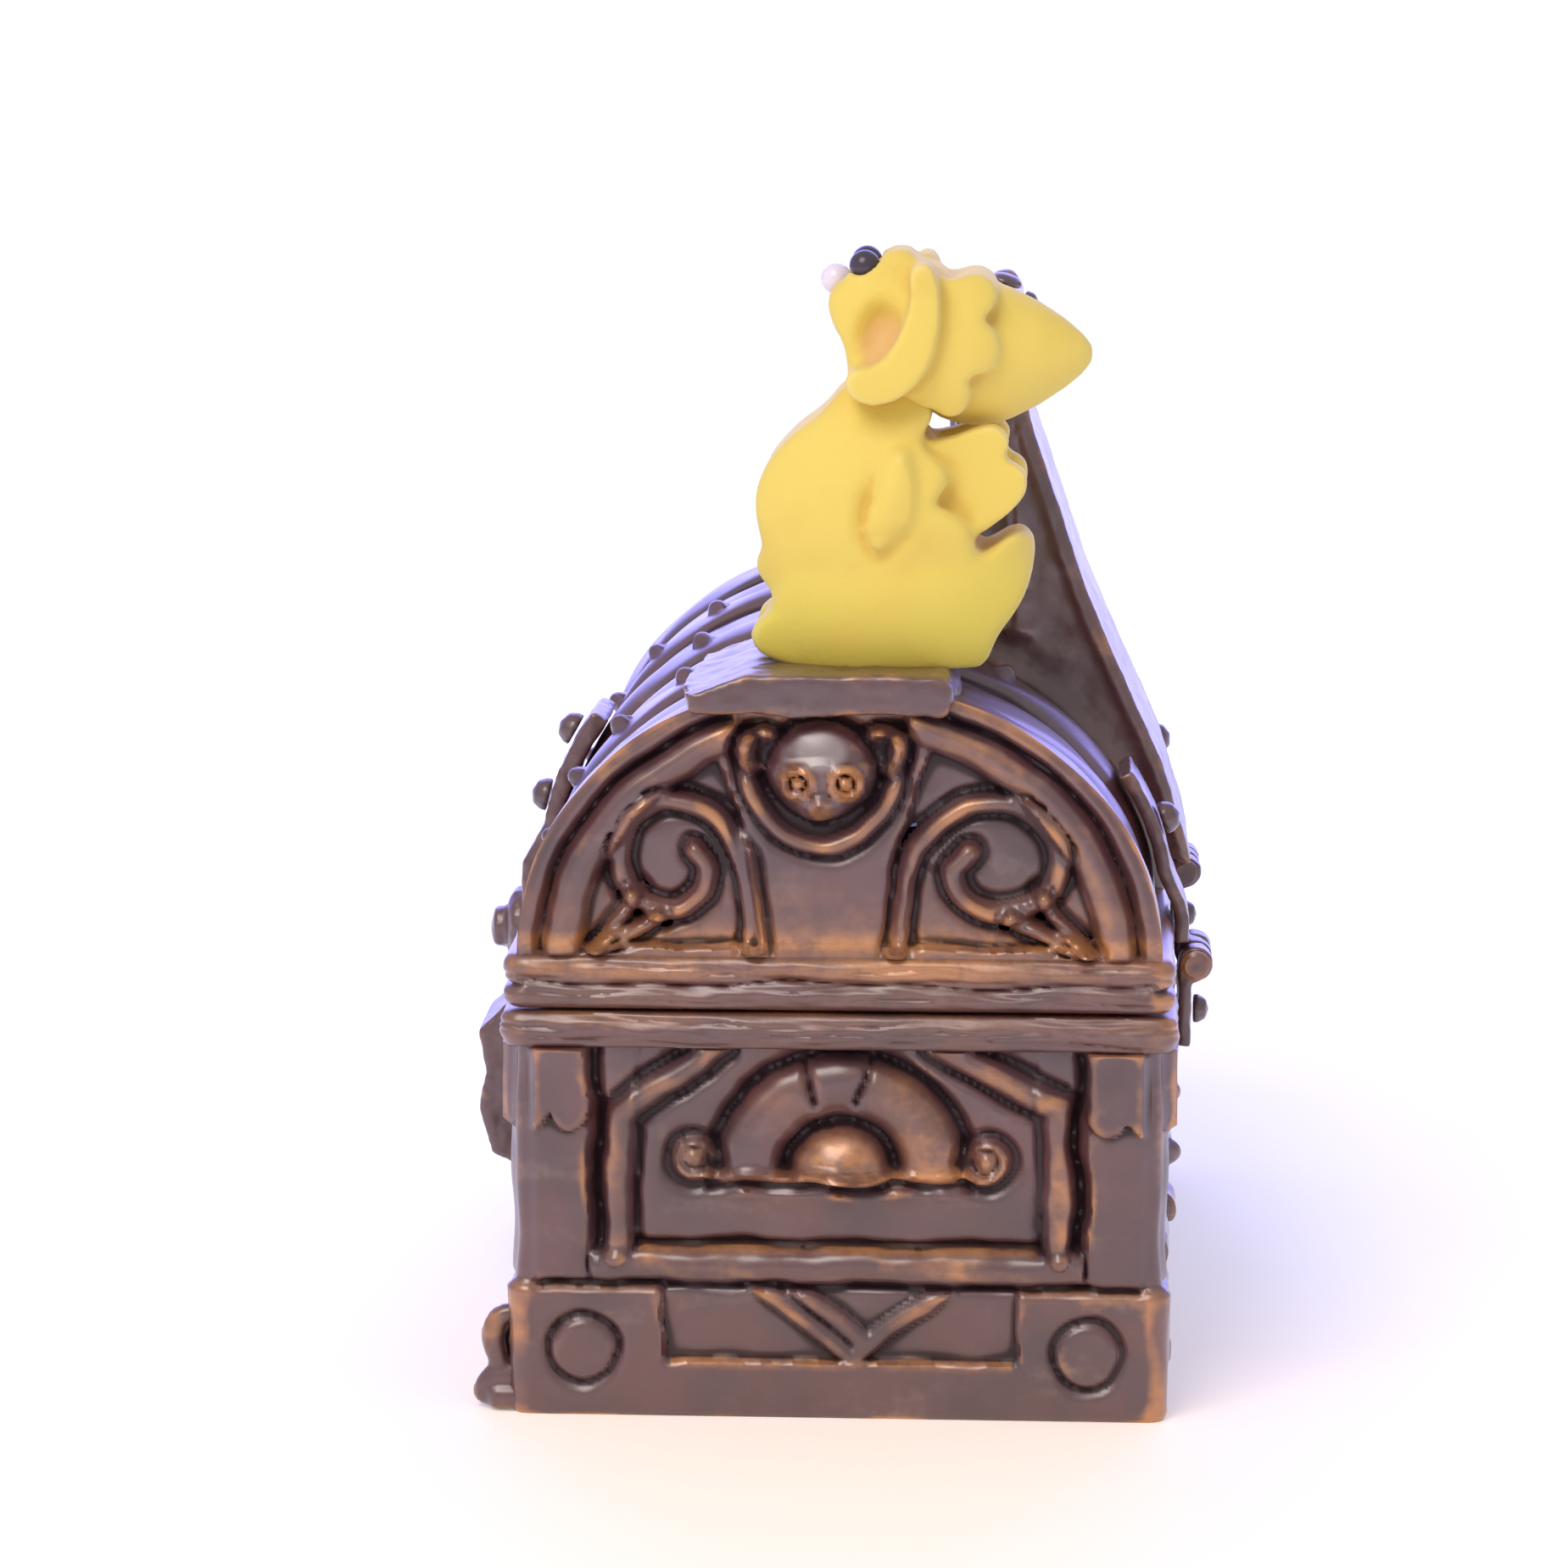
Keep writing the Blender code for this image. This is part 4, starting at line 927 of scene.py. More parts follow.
def saddle(sizes):
    """The seat block: a lintel across the end, rolled lips, and one top corner cut off at a slant."""
    bm = cad_solid("saddle_plate")
    top, near = SADDLE_HIGH.z, SADDLE_LOW.y
    low_x, high_x = SADDLE_LOW.x, SADDLE_HIGH.x
    for level, radius in ((top - 3.2, 0.85), (top - 0.9, 0.9)):
        across = np.linspace(low_x + 1, high_x - 1, 9)
        line = [(x, near + radius - 0.1, level + 0.25 * math.sin(0.4 * x)) for x in across]
        tube(bm, line, [radius] * 9, 10)
    for x, side in ((low_x + 1.0, -1), (high_x - 1.0, 1)):
        tube(bm, [(x, near + 0.9, top - 3.2), (x, near + 1.5, top - 1.0), (x, near + 9, top - 0.9),
                  (x, near + 24, top - 1.2)], [0.9, 1.0, 0.9, 0.8], 10)
        tube(bm, [(x, near + 2, top - 2.0), (x + side * 0.6, near + 9, top - 2.4), (x, near + 23, top - 2.2)],
             [1.0, 1.3, 1.0], 10)
        ball(bm, (x, near + 1.4, top - 2.0), (1.3, 1.2, 1.6))
    outline = [(low_x - 2, top - 1.9), (low_x + 0.6, top - 1.9), (low_x + 5.5, top - 0.1),
               (low_x + 5.5, top + 3), (low_x - 2, top + 3)]
    wedge = thick_outline(outline, near - 5, 40)
    return roughened(skinned(bm, sizes.skin_voxel, 4, [wedge]), sizes.wobble * 0.7, 2.4)


def vault_line(x_points, grow):
    """(x, z) points of the vault's outline over some x."""
    half, rise = VAULT_HALF + grow, VAULT_RISE + grow
    return [(x, LID_RIM_TOP + rise * math.sqrt(max(1 - (x / half) ** 2, 0))) for x in x_points]


def panel(sizes):
    """The tall back panel with its columns, crest, edge mouldings and the folds at its foot."""
    bm = cad_solid("back_panel")
    half = PANEL_HIGH.y
    front = PANEL_LOW.x
    foot = vault_line(np.linspace(front + 0.5, 31.0, 12), -0.9)
    edge = [(34.3, 50.6), (31.2, 59.3), (27.2, 68.1), (23.3, 77.0), (20.4, 85.7), (17.3, 94.9), (16.3, 104.8)]
    for side in (-1, 1):
        y = side * (half - 0.2)
        for shift, radius in ((-0.3, 1.5), (-1.4, 1.3), (-2.6, 1.2)):
            tube(bm, [(x, y + side * shift, z) for x, z in foot], [radius] * len(foot), 10)
        tube(bm, [(x - 0.5, y, z) for x, z in edge], [0.62] * len(edge), 10)
        tube(bm, [(16.9, y, 73.4), (16.9, y, 80), (16.4, y, 88), (15.2, y, 96.5)], [1.25, 0.95, 0.85, 0.7])
        for z, radius in ((73.2, 1.8), (75.0, 1.35), (88.2, 1.25), (96.6, 1.2)):
            ball(bm, (16.9 - 0.09 * max(z - 80, 0), y, z), (radius, radius * 0.75, radius * 0.6))
        for x, radius in ((front + 0.7, 0.65), (front + 2.6, 0.6)):
            tube(bm, [(x, y, 76.5), (x, y, 90), (x + 0.1, y, 103.5)], [radius] * 3, 10)
    for y in (-9.6, -3.2, 3.2, 9.6):
        tube(bm, [(front + 0.1, y, 78), (front, y, 90), (front + 0.1, y, 101.5)], [0.8] * 3)
    slab(bm, (front - 0.3, -half - 0.3, 102.6), (17.0, half + 0.3, 104.2), 0.5)
    slab(bm, (front - 0.3, -half - 0.3, 75.2), (14.5, half + 0.3, 77.0), 0.5)
    for y in (-12.6, 12.6):
        ball(bm, (15.0, y, 107.0), (1.5, 1.4, 1.2))
    for z in (62, 72, 82, 92):
        x = float(np.interp(z, [spot[1] for spot in edge], [spot[0] for spot in edge]))
        tube(bm, [(x, -half + 1, z), (x + 0.15, 0, z + 0.3), (x, half - 1, z)], [0.6, 0.6, 0.6], 10)
    return roughened(skinned(bm, sizes.skin_voxel, 2), sizes.wobble * 0.5, 2.8)


def moulded_copy(node, voxel, wobble, rounds=4):
    """A CAD node's shape with its edges softened, as a moulded and painted piece has them."""
    return roughened(skinned(cad_solid(node), voxel, rounds), wobble, 1.8)


BODY_OUTLINE = [
    (0.3, 100.9), (-2.1, 98.3), (-4.9, 96.2), (-7.2, 93.6), (-8.4, 91.0), (-8.6, 88.7), (-8.1, 86.2), (-7.8, 85.0),
    (-8.6, 83.6), (-8.1, 82.0), (-7.0, 80.9), (-6.6, 79.2), (-7.8, 78.4), (-8.8, 77.0), (-8.2, 75.4), (-6.0, 74.1),
    (0.8, 73.2), (9.3, 72.6), (12.2, 73.0), (13.8, 75.2), (16.2, 78.1), (18.3, 81.5), (18.8, 84.9), (18.0, 86.5),
    (16.5, 86.5), (14.8, 85.3), (12.5, 84.1), (12.9, 85.8), (12.1, 87.6), (10.6, 88.9), (8.7, 89.8), (9.6, 90.8),
    (10.3, 92.1), (9.6, 93.7), (7.9, 95.0), (7.6, 96.4), (8.8, 97.9), (8.0, 99.6), (4.5, 101.3),
]
WING_OUTLINE = [
    (6.0, 95.0), (9.2, 95.7), (10.9, 96.1), (13.0, 96.9), (14.9, 97.1), (16.2, 95.6), (15.7, 94.0), (17.5, 92.9),
    (17.9, 91.2), (17.3, 89.9), (15.6, 88.2), (12.7, 86.4), (9.5, 87.0), (6.5, 90.0),
]
FOOT_OUTLINE = [
    (-8.9, 77.0), (-8.3, 75.4), (-6.2, 74.2), (-1.0, 73.4), (2.0, 74.0), (0.0, 77.5), (-4.0, 78.8), (-7.6, 78.5),
]
HAUNCH_OUTLINE = [
    (-5.5, 82.0), (-3.0, 85.6), (2.0, 86.6), (7.5, 86.0), (12.6, 84.3), (17.5, 86.3), (18.7, 84.6), (17.8, 80.6),
    (15.2, 76.9), (12.0, 73.2), (-4.0, 73.2), (-6.6, 76.0), (-6.8, 79.5),
]
FACE_OUTLINE = [
    (-1.7, 108.6), (-1.0, 106.8), (0.1, 104.5), (0.5, 101.7), (1.3, 99.6), (4.7, 98.6), (9.0, 98.4), (10.5, 104.0),
    (10.0, 111.6), (7.4, 112.7), (6.4, 114.0), (5.2, 114.1), (3.6, 112.9), (1.4, 111.6), (-0.9, 110.6),
]
FRINGE_OUTLINE = [
    (6.0, 100.0), (6.0, 111.5), (8.4, 111.6), (10.5, 111.3), (12.8, 111.9), (14.6, 110.9), (14.7, 109.0),
    (13.5, 107.5), (14.7, 106.4), (15.2, 104.6), (14.3, 102.7), (12.1, 102.0), (12.4, 100.6), (11.7, 98.6),
    (10.2, 97.9), (8.6, 98.9),
]
EAR_OUTLINE = [
    (7.7, 113.3), (8.9, 112.4), (9.4, 109.8), (9.3, 106.4), (8.2, 102.9), (5.8, 100.3), (3.0, 99.5), (0.9, 100.3),
    (0.4, 102.0), (1.3, 103.0), (3.0, 103.2), (4.7, 104.7), (6.0, 107.2), (6.7, 109.8), (6.6, 112.2),
]
CREST_PROFILE = [(0, 0), (6.2, 0), (7.0, 2.4), (7.1, 4.4), (6.6, 7.0), (5.1, 10.0), (3.4, 12.6), (2.0, 14.3),
                 (0.9, 15.2), (0, 15.4)]
CREST_BASE = (8.9, 0, 103.7)


def smoothed(bm, voxel, rounds, cuts=()):
    """skinned, and given back as a fresh bmesh to build on."""
    mesh = skinned(bm, voxel, rounds, cuts)
    fresh = bmesh.new()
    take_in(fresh, mesh)
    return fresh


def creature_body(sizes):
    form = bmesh.new()
    y = FIGURE_Y
    cutout(form, BODY_OUTLINE, 12, y, ((4.0, y, 87.2), (15.0, 10.3, 16.6)))
    cutout(form, HAUNCH_OUTLINE, 12, y, ((4.6, y, 78.5), (16.2, 11.0, 12.5)))
    ball(form, (2.2, y, 87.6), (9.7, 9.9, 11.0))
    for side in (-1, 1):
        cutout(form, FOOT_OUTLINE, 2.9, y + side * 5.6)
        ball(form, (-6.9, y + side * 3.6, 83.2), (1.6, 2.6, 1.9))
    dishes = []
    for side in (-1, 1):
        dish = bmesh.new()
        ball(dish, (4.1, y + side * 11.6, 89.4), (3.7, 3.0, 6.5), 8)
        dishes.append(dish)
    bm = smoothed(form, sizes.skin_voxel, 6, dishes)
    for side in (-1, 1):
        cutout(bm, WING_OUTLINE, 1.8, y + side * 4.5)
        ball(bm, (5.1, y + side * 9.2, 90.5), (2.1, 2.1, 5.2), 8)
        arm_edge = [(5.6, y + side * 10.4, 94.3), (6.4, y + side * 10.3, 91.5), (6.2, y + side * 10.2, 88.2)]
        tube(bm, arm_edge, [0.7, 0.8, 0.7])
        for x, z, radius in ((3.3, 89.0, 0.75), (3.2, 87.6, 0.85), (3.7, 86.2, 0.9)):
            ball(bm, (x, y + side * 10.2, z), radius, segments=14)
    floor = bmesh.new()
    slab(floor, (-30, y - 20, 60), (40, y + 20, SADDLE_HIGH.z - 0.35))
    return skinned(bm, sizes.skin_voxel, 3, [floor])


def creature_head(sizes):
    form = bmesh.new()
    y = FIGURE_Y
    cutout(form, FACE_OUTLINE, 12, y, ((5.2, y, 106.2), (9.4, 6.6, 9.6)))
    ball(form, (6.8, y, 105.4), (6.0, 7.0, 6.6))
    ball(form, (1.5, y, 107.6), (3.0, 4.4, 3.3))
    cavities = []
    for side in (-1, 1):
        cavity = bmesh.new()
        ball(cavity, (3.3, y + side * 9.0, 106.6), (3.0, 4.4, 4.4), 18)
        cavities.append(cavity)
    bm = smoothed(form, sizes.skin_voxel, 8, cavities)
    turned(bm, CREST_PROFILE, (1, 0, 0), (CREST_BASE[0], y, CREST_BASE[2]), 40, 0.84)
    cutout(bm, FRINGE_OUTLINE, 12, y, ((10.5, y, 105.0), (8.6, 8.9, 10.4)))
    for side in (-1, 1):
        cutout(bm, EAR_OUTLINE, 3.6, y + side * 7.3)
        ball(bm, (5.2, y + side * 2.9, 112.6), (1.5, 1.5, 1.5))
        lid_line = [(0.6, 4.0, 111.4), (2.0, 4.7, 110.9), (3.4, 4.4, 111.7), (4.2, 3.3, 113.0)]
        tube(bm, [(px, y + side * py, pz) for px, py, pz in lid_line], [0.6, 0.8, 0.85, 0.8])
    sockets = []
    for node in ("eye_bead_near", "eye_bead_far", "nose_bead"):
        low, high = node_box(node)
        socket = bmesh.new()
        ball(socket, (low + high) / 2, (high.z - low.z) / 2 + 0.05)
        sockets.append(socket)
    mesh = skinned(bm, sizes.skin_voxel, 4, sockets)
    places = positions(mesh)
    inside = np.hypot((places[:, 0] - 4.0) / 2.6, (places[:, 2] - 104.9) / 2.9)
    depth = np.abs(places[:, 1] - y)
    mark(mesh, "blush", ramp(1.15 - inside, 0, 0.5) * ramp(depth, 2.5, 4.0) * ramp(-depth, -9.0, -8.0))
    return mesh


def bead(node):
    low, high = node_box(node)
    bm = bmesh.new()
    ball(bm, (low + high) / 2, (high.z - low.z) / 2, segments=32)
    return as_mesh(bm)


# --- Insides and fittings ---


def coins(node, sizes, seed):
    """A mound with coins lying on it every way, with a few pearls among them."""
    low, high = node_box(node)
    dice = random.Random(seed)
    centre = Vector(((low.x + high.x) / 2, (low.y + high.y) / 2, low.z))
    size = (high - low).xy / 2
    rise = high.z - low.z
    bm = bmesh.new()
    ball(bm, centre, (size.x * 0.93, size.y * 0.9, rise * 0.86), segments=36)
    geometry = bm.verts[:] + bm.edges[:] + bm.faces[:]
    bmesh.ops.bisect_plane(bm, geom=geometry, plane_co=(0, 0, low.z), plane_no=(0, 0, 1), clear_inner=True)
    bmesh.ops.edgeloop_fill(bm, edges=[e for e in bm.edges if e.is_boundary])
    for i in range(int(sizes.coin_count)):
        angle, reach = dice.uniform(0, math.tau), math.sqrt(dice.uniform(0, 0.86))
        x, y = math.cos(angle) * reach, math.sin(angle) * reach
        z = math.sqrt(1 - reach * reach)
        spot = centre + Vector((x * size.x * 0.9, y * size.y * 0.86, z * rise * 0.86 + 0.1))
        slope = Vector((x / size.x, y / size.y, z / rise)).normalized()
        lean = slope + Vector([dice.gauss(0, 0.28) for _ in range(3)])
        turn = Vector((0, 0, 1)).rotation_difference(lean).to_matrix().to_4x4()
        if i % 12 == 5:
            ball(bm, spot + Vector((0, 0, 0.3)), 1.0, segments=10)
            continue
        made = bmesh.ops.create_cone(
            bm, cap_ends=True, segments=16, radius1=sizes.coin_radius, radius2=sizes.coin_radius, depth=0.6,
            matrix=Matrix.Translation(spot) @ turn,
        )["verts"]
        tops = [f for f in {f for v in made for f in v.link_faces} if len(f.verts) > 4]
        bmesh.ops.inset_individual(bm, faces=tops, thickness=0.35)
        for top in tops:
            bmesh.ops.translate(bm, vec=-top.normal * 0.14, verts=top.verts)
    lowest = low.z
    for vert in bm.verts:
        vert.co.z = min(max(vert.co.z, lowest), high.z)
        vert.co.x = min(max(vert.co.x, low.x), high.x)
        vert.co.y = min(max(vert.co.y, low.y), high.y)
    mesh = bpy.data.meshes.new("coins")
    bm.to_mesh(mesh)
    bm.free()
    return mesh


def crossed_screw(node):
    """A pan-head screw with a cross recess in its head."""
    low, high = node_box(node)
    centre = (low + high) / 2
    radius, length = (high.x - low.x) / 2, high.z - low.z
    bm = bmesh.new()
    shank = [(1.15, 1.5), (1.15, length - 1.2), (0.0, length)]
    turned(bm, [(0, 0), (radius * 0.8, 0), (radius, 0.35), (radius, 0.9), *shank], (0, 0, 1),
           (centre.x, centre.y, low.z))
    bmesh.ops.recalc_face_normals(bm, faces=bm.faces)
    recess = bmesh.new()
    slab(recess, (centre.x - 1.5, centre.y - 0.3, low.z - 1), (centre.x + 1.5, centre.y + 0.3, low.z + 0.6))
    other = bmesh.new()
    slab(other, (centre.x - 0.3, centre.y - 1.5, low.z - 1), (centre.x + 0.3, centre.y + 1.5, low.z + 0.6))
    return combined(work_object(bm), (work_object(recess), "DIFFERENCE"), (work_object(other), "DIFFERENCE"))


def stone():
    """The porous air stone with its nipple."""
    low, high = STONE_LOW, STONE_HIGH
    centre, radius, length = (low + high) / 2, (high.x - low.x) / 2, high.y - low.y - 3.0
    steps = [(radius - 0.1, 0.9 + (length - 1.8) * i / 24) for i in range(25)]
    profile = [(0, 0), (radius - 1.2, 0.05), (radius - 0.5, 0.3), *steps, (radius - 0.5, length - 0.3),
               (radius - 1.2, length), (1.4, length), (1.4, length + 3.0), (0, length + 3.0)]
    bm = bmesh.new()
    turned(bm, profile, (0, 1, 0), (centre.x, low.y, centre.z), 64)
    mesh = as_mesh(bm)
    places, out = positions(mesh), normals(mesh)
    shift = np.array([noise.noise(Vector(p) * 1.9) for p in places]) * 0.16 - 0.05
    shift[places[:, 1] > low.y + length - 0.1] = 0
    place(mesh, places + out * shift[:, None])
    return mesh


def cup():
    """The clear cup that catches the air, on its post."""
    low, high = CUP_BOTTOM, CUP_TIP
    radius, wall = (high.x - low.x) / 2, 1.2
    top = 58.0
    turns = np.linspace(0, math.pi / 2, 7)
    shoulder = [(radius - 3 + 3 * math.cos(a), top - 3 + 3 * math.sin(a)) for a in turns]
    inner = [(radius - 3 + (3 - wall) * math.cos(a), top - 3 + (3 - wall) * math.sin(a))
             for a in np.linspace(math.pi / 2, 0, 7)]
    profile = [(0, top - wall), *inner, (radius - wall, low.z), (radius, low.z), *shoulder,
               (2.7, top + 0.7), (2.5, top + 1.8), (2.5, high.z), (0, high.z)]
    bm = bmesh.new()
    turned(bm, profile, (0, 0, 1), ((low.x + high.x) / 2, (low.y + high.y) / 2, 0), 64)
    return as_mesh(bm)


def barb():
    """The air inlet: hollow stub, flange and two barbs."""
    low, high = node_box("air_inlet_barb")
    centre = (low + high) / 2
    stop = high.y - 7.6 - low.y
    profile = [(1.1, 0), (1.9, 0), (1.9, 1.5), (2.9, 2.0), (2.9, stop), (3.9, stop), (4.2, stop + 0.3),
               (4.2, stop + 1.3), (3.9, stop + 1.6), (1.7, stop + 1.6), (1.7, stop + 3.2), (2.3, stop + 3.6),
               (1.7, stop + 5.2), (2.3, stop + 5.6), (1.6, stop + 7.6), (1.1, stop + 7.6)]
    bm = bmesh.new()
    turned(bm, profile, (0, 1, 0), (centre.x, low.y, centre.z), 40)
    return as_mesh(bm)


def hose():
    """The soft tube between the inlet and the stone."""
    low, high = node_box("air_hose")
    radius = (high.x - low.x) / 2
    x = (low.x + high.x) / 2
    start, end = Vector((x, high.y, low.z + radius)), Vector((x, low.y, high.z - radius))
    lead = Vector((0, -12, 0))
    bm = bmesh.new()
    upright = Matrix.Translation(start) @ Matrix.Rotation(math.pi / 2, 4, "X")
    bmesh.ops.create_circle(bm, segments=20, radius=radius, matrix=upright)
    bm.faces.new(bm.verts)
    edges = bm.edges[:]
    before, steps = start, 36
    for i in range(steps):
        t = (i + 1) / steps
        a, b, c, d = start, start + lead, end - lead, end
        now = (1 - t) ** 3 * a + 3 * t * (1 - t) ** 2 * b + 3 * t * t * (1 - t) * c + t**3 * d
        verts, edges = drawn_out(bm, edges)
        bmesh.ops.translate(bm, vec=now - before, verts=verts)
        before = now
    bmesh.ops.edgeloop_fill(bm, edges=edges)
    return as_mesh(bm)


# --- Materials ---


class Tree:
    """A short way to add nodes and join them up."""

    def __init__(self, tree):
        self.tree = tree

    def add(self, kind, inputs=None, **settings):
        made = self.tree.nodes.new(kind)
        for key, value in settings.items():
            setattr(made, key, value)
        for key, value in (inputs or {}).items():
            socket = made.inputs[key]
            if isinstance(value, bpy.types.NodeSocket):
                self.tree.links.new(value, socket)
            else:
                socket.default_value = value
        return made

    def math(self, operation, first, second=0.0, third=0.0):
        return self.add("ShaderNodeMath", {0: first, 1: second, 2: third}, operation=operation).outputs[0]

    def between(self, value, low, high, to_low=0.0, to_high=1.0):
        names = {"Value": value, "From Min": low, "From Max": high, "To Min": to_low, "To Max": to_high}
        return self.add("ShaderNodeMapRange", names, interpolation_type="SMOOTHSTEP").outputs[0]

    def mix(self, share, first, second):
        names = {"Factor": share, "A": first, "B": second}
        made = self.tree.nodes.new("ShaderNodeMix")
        made.data_type = "RGBA"
        for key, value in names.items():
            socket = [s for s in made.inputs if s.name == key and s.enabled][0]
            if isinstance(value, bpy.types.NodeSocket):
                self.tree.links.new(value, socket)
            else:
                socket.default_value = value
        return [s for s in made.outputs if s.enabled][0]

    def noise(self, vector, scale, detail=3.0, stretch=None):
        if stretch:
            vector = self.add("ShaderNodeMapping", {"Vector": vector, "Scale": stretch}).outputs[0]
        names = {"Vector": vector, "Scale": scale, "Detail": detail}
        return self.add("ShaderNodeTexNoise", names).outputs["Fac"]


def new_group(name, inputs, outputs):
    """An empty shader group with its sockets: (label, type, default) in and (label, type) out."""
    group = bpy.data.node_groups.new(name, "ShaderNodeTree")
    for label, kind, default in inputs:
        socket = group.interface.new_socket(label, in_out="INPUT", socket_type="NodeSocket" + kind)
        socket.default_value = default
    for label, kind in outputs:
        group.interface.new_socket(label, in_out="OUTPUT", socket_type="NodeSocket" + kind)
    tree = Tree(group)
    return group, tree, tree.add("NodeGroupInput").outputs, tree.add("NodeGroupOutput").inputs


def solid(colour):
    return (*colour, 1.0)


def dry_brush_group():
    """Paint over relief: a dark wash in the grooves, partly painted shade, and metallic colour rubbed on the
    edges.
    """
    found = bpy.data.node_groups.get("Dry brush")
    if found:
        return found
    grey = (0.5, 0.5, 0.5, 1)
    inputs = [("Coat", "Color", grey), ("Patches", "Color", grey), ("Wash and shade", "Color", grey),
              ("Edge", "Color", grey), ("Rubbed", "Color", grey), ("Edge amount", "Float", 1.0),
              ("Wash and shade depth", "Float", 0.12)]
    outputs = [("Color", "Color")] + [(label, "Float") for label in ("Roughness", "Metallic", "Coat", "Height")]
    group, tree, given, result = new_group("Dry brush", inputs, outputs)
    place_vector = tree.add("ShaderNodeTexCoord").outputs["Object"]
    relief = tree.add("ShaderNodeAttribute", attribute_name="relief").outputs["Fac"]
    gilt_and_highlight = tree.add("ShaderNodeAttribute", attribute_name="gilt_and_highlight").outputs["Fac"]
    broad = tree.noise(place_vector, 95.0, 4.0)
    streaks = tree.noise(place_vector, 75.0, 5.0, (1.0, 1.0, 4.0))
    speckle = tree.noise(place_vector, 900.0, 3.0)
    grain = tree.noise(place_vector, 2600.0, 2.0)
    colour = tree.mix(tree.between(broad, 0.35, 0.68), given["Coat"], given["Patches"])
    rub = tree.between(tree.math("ADD", streaks, tree.math("MULTIPLY", speckle, 0.35)), 0.72, 1.0, 0.0, 0.45)
    colour = tree.mix(rub, colour, given["Rubbed"])
    uneven = tree.math("MULTIPLY_ADD", tree.math("SUBTRACT", streaks, 0.5), 0.7, relief)
    uneven = tree.math("MULTIPLY_ADD", tree.math("SUBTRACT", speckle, 0.5), 0.22, uneven)
    patchy = tree.between(tree.noise(place_vector, 150.0, 2.0), 0.42, 0.64, 0.12, 0.8)
    edge = tree.math("MULTIPLY", tree.between(uneven, 0.17, 0.55), given["Edge amount"])
    edge = tree.math("MULTIPLY", edge, patchy)
    broken = tree.between(tree.math("MULTIPLY_ADD", speckle, 0.5, streaks), 0.55, 0.92, 0.25, 1.0)
    # Extra bronze where the stored attribute asks, partly painted highlight.
    edge = tree.math("MAXIMUM", edge, tree.math("MULTIPLY", gilt_and_highlight, broken))
    colour = tree.mix(edge, colour, given["Edge"])
    # The wash darkens grooves and broad hollows: partly the paint's wash, partly painted shade.
    sunk = tree.math("MULTIPLY", relief, -1.0)
    wash_and_shade = tree.between(sunk, 0.05, given["Wash and shade depth"], 0.0, 0.86)
    colour = tree.mix(wash_and_shade, colour, given["Wash and shade"])
    tree.tree.links.new(colour, result["Color"])
    rough = tree.between(broad, 0.3, 0.7, 0.36, 0.52)
    # Rougher and with less clear coat under the wash and painted shade.
    tree.tree.links.new(tree.math("MULTIPLY_ADD", wash_and_shade, 0.15, rough), result["Roughness"])
    tree.tree.links.new(tree.math("MULTIPLY", edge, 0.45), result["Metallic"])
    tree.tree.links.new(tree.between(wash_and_shade, 0.0, 0.6, 1.0, 0.1), result["Coat"])
    height = tree.math("MULTIPLY_ADD", grain, 0.25, tree.math("MULTIPLY_ADD", streaks, 0.5, speckle))
    tree.tree.links.new(height, result["Height"])
    return group


def painted(name, colours, edge_amount=1.0, wash_and_shade_depth=0.42, pale=False):
    """The chest's paint, with an optional pale patch on the medallion."""
    material = bpy.data.materials.new(name)
    material.use_nodes = True
    tree = Tree(material.node_tree)
    shader = material.node_tree.nodes["Principled BSDF"]
    group = tree.add("ShaderNodeGroup", node_tree=dry_brush_group())
    fields = {"Coat": colours.brown, "Patches": colours.umber, "Wash and shade": colours.recess, "Edge": colours.bronze,
              "Rubbed": colours.ash}
    for label, colour in fields.items():
        group.inputs[label].default_value = solid(colour)
    group.inputs["Edge amount"].default_value = edge_amount
    group.inputs["Wash and shade depth"].default_value = wash_and_shade_depth
    colour = group.outputs["Color"]
    if pale:
        patch = tree.add("ShaderNodeAttribute", attribute_name="pale").outputs["Fac"]
        colour = tree.mix(patch, colour, solid(colours.pale))
    links = material.node_tree.links
    links.new(colour, shader.inputs["Base Color"])
    links.new(group.outputs["Roughness"], shader.inputs["Roughness"])
    links.new(group.outputs["Metallic"], shader.inputs["Metallic"])
    bump = tree.add("ShaderNodeBump", {
        "Height": group.outputs["Height"], "Strength": 0.35, "Distance": 0.0002,
    })
    links.new(bump.outputs[0], shader.inputs["Normal"])
    links.new(group.outputs["Coat"], shader.inputs["Coat Weight"])
    shader.inputs["Coat Roughness"].default_value = 0.3
    shader.inputs["Coat IOR"].default_value = 1.65
    return material


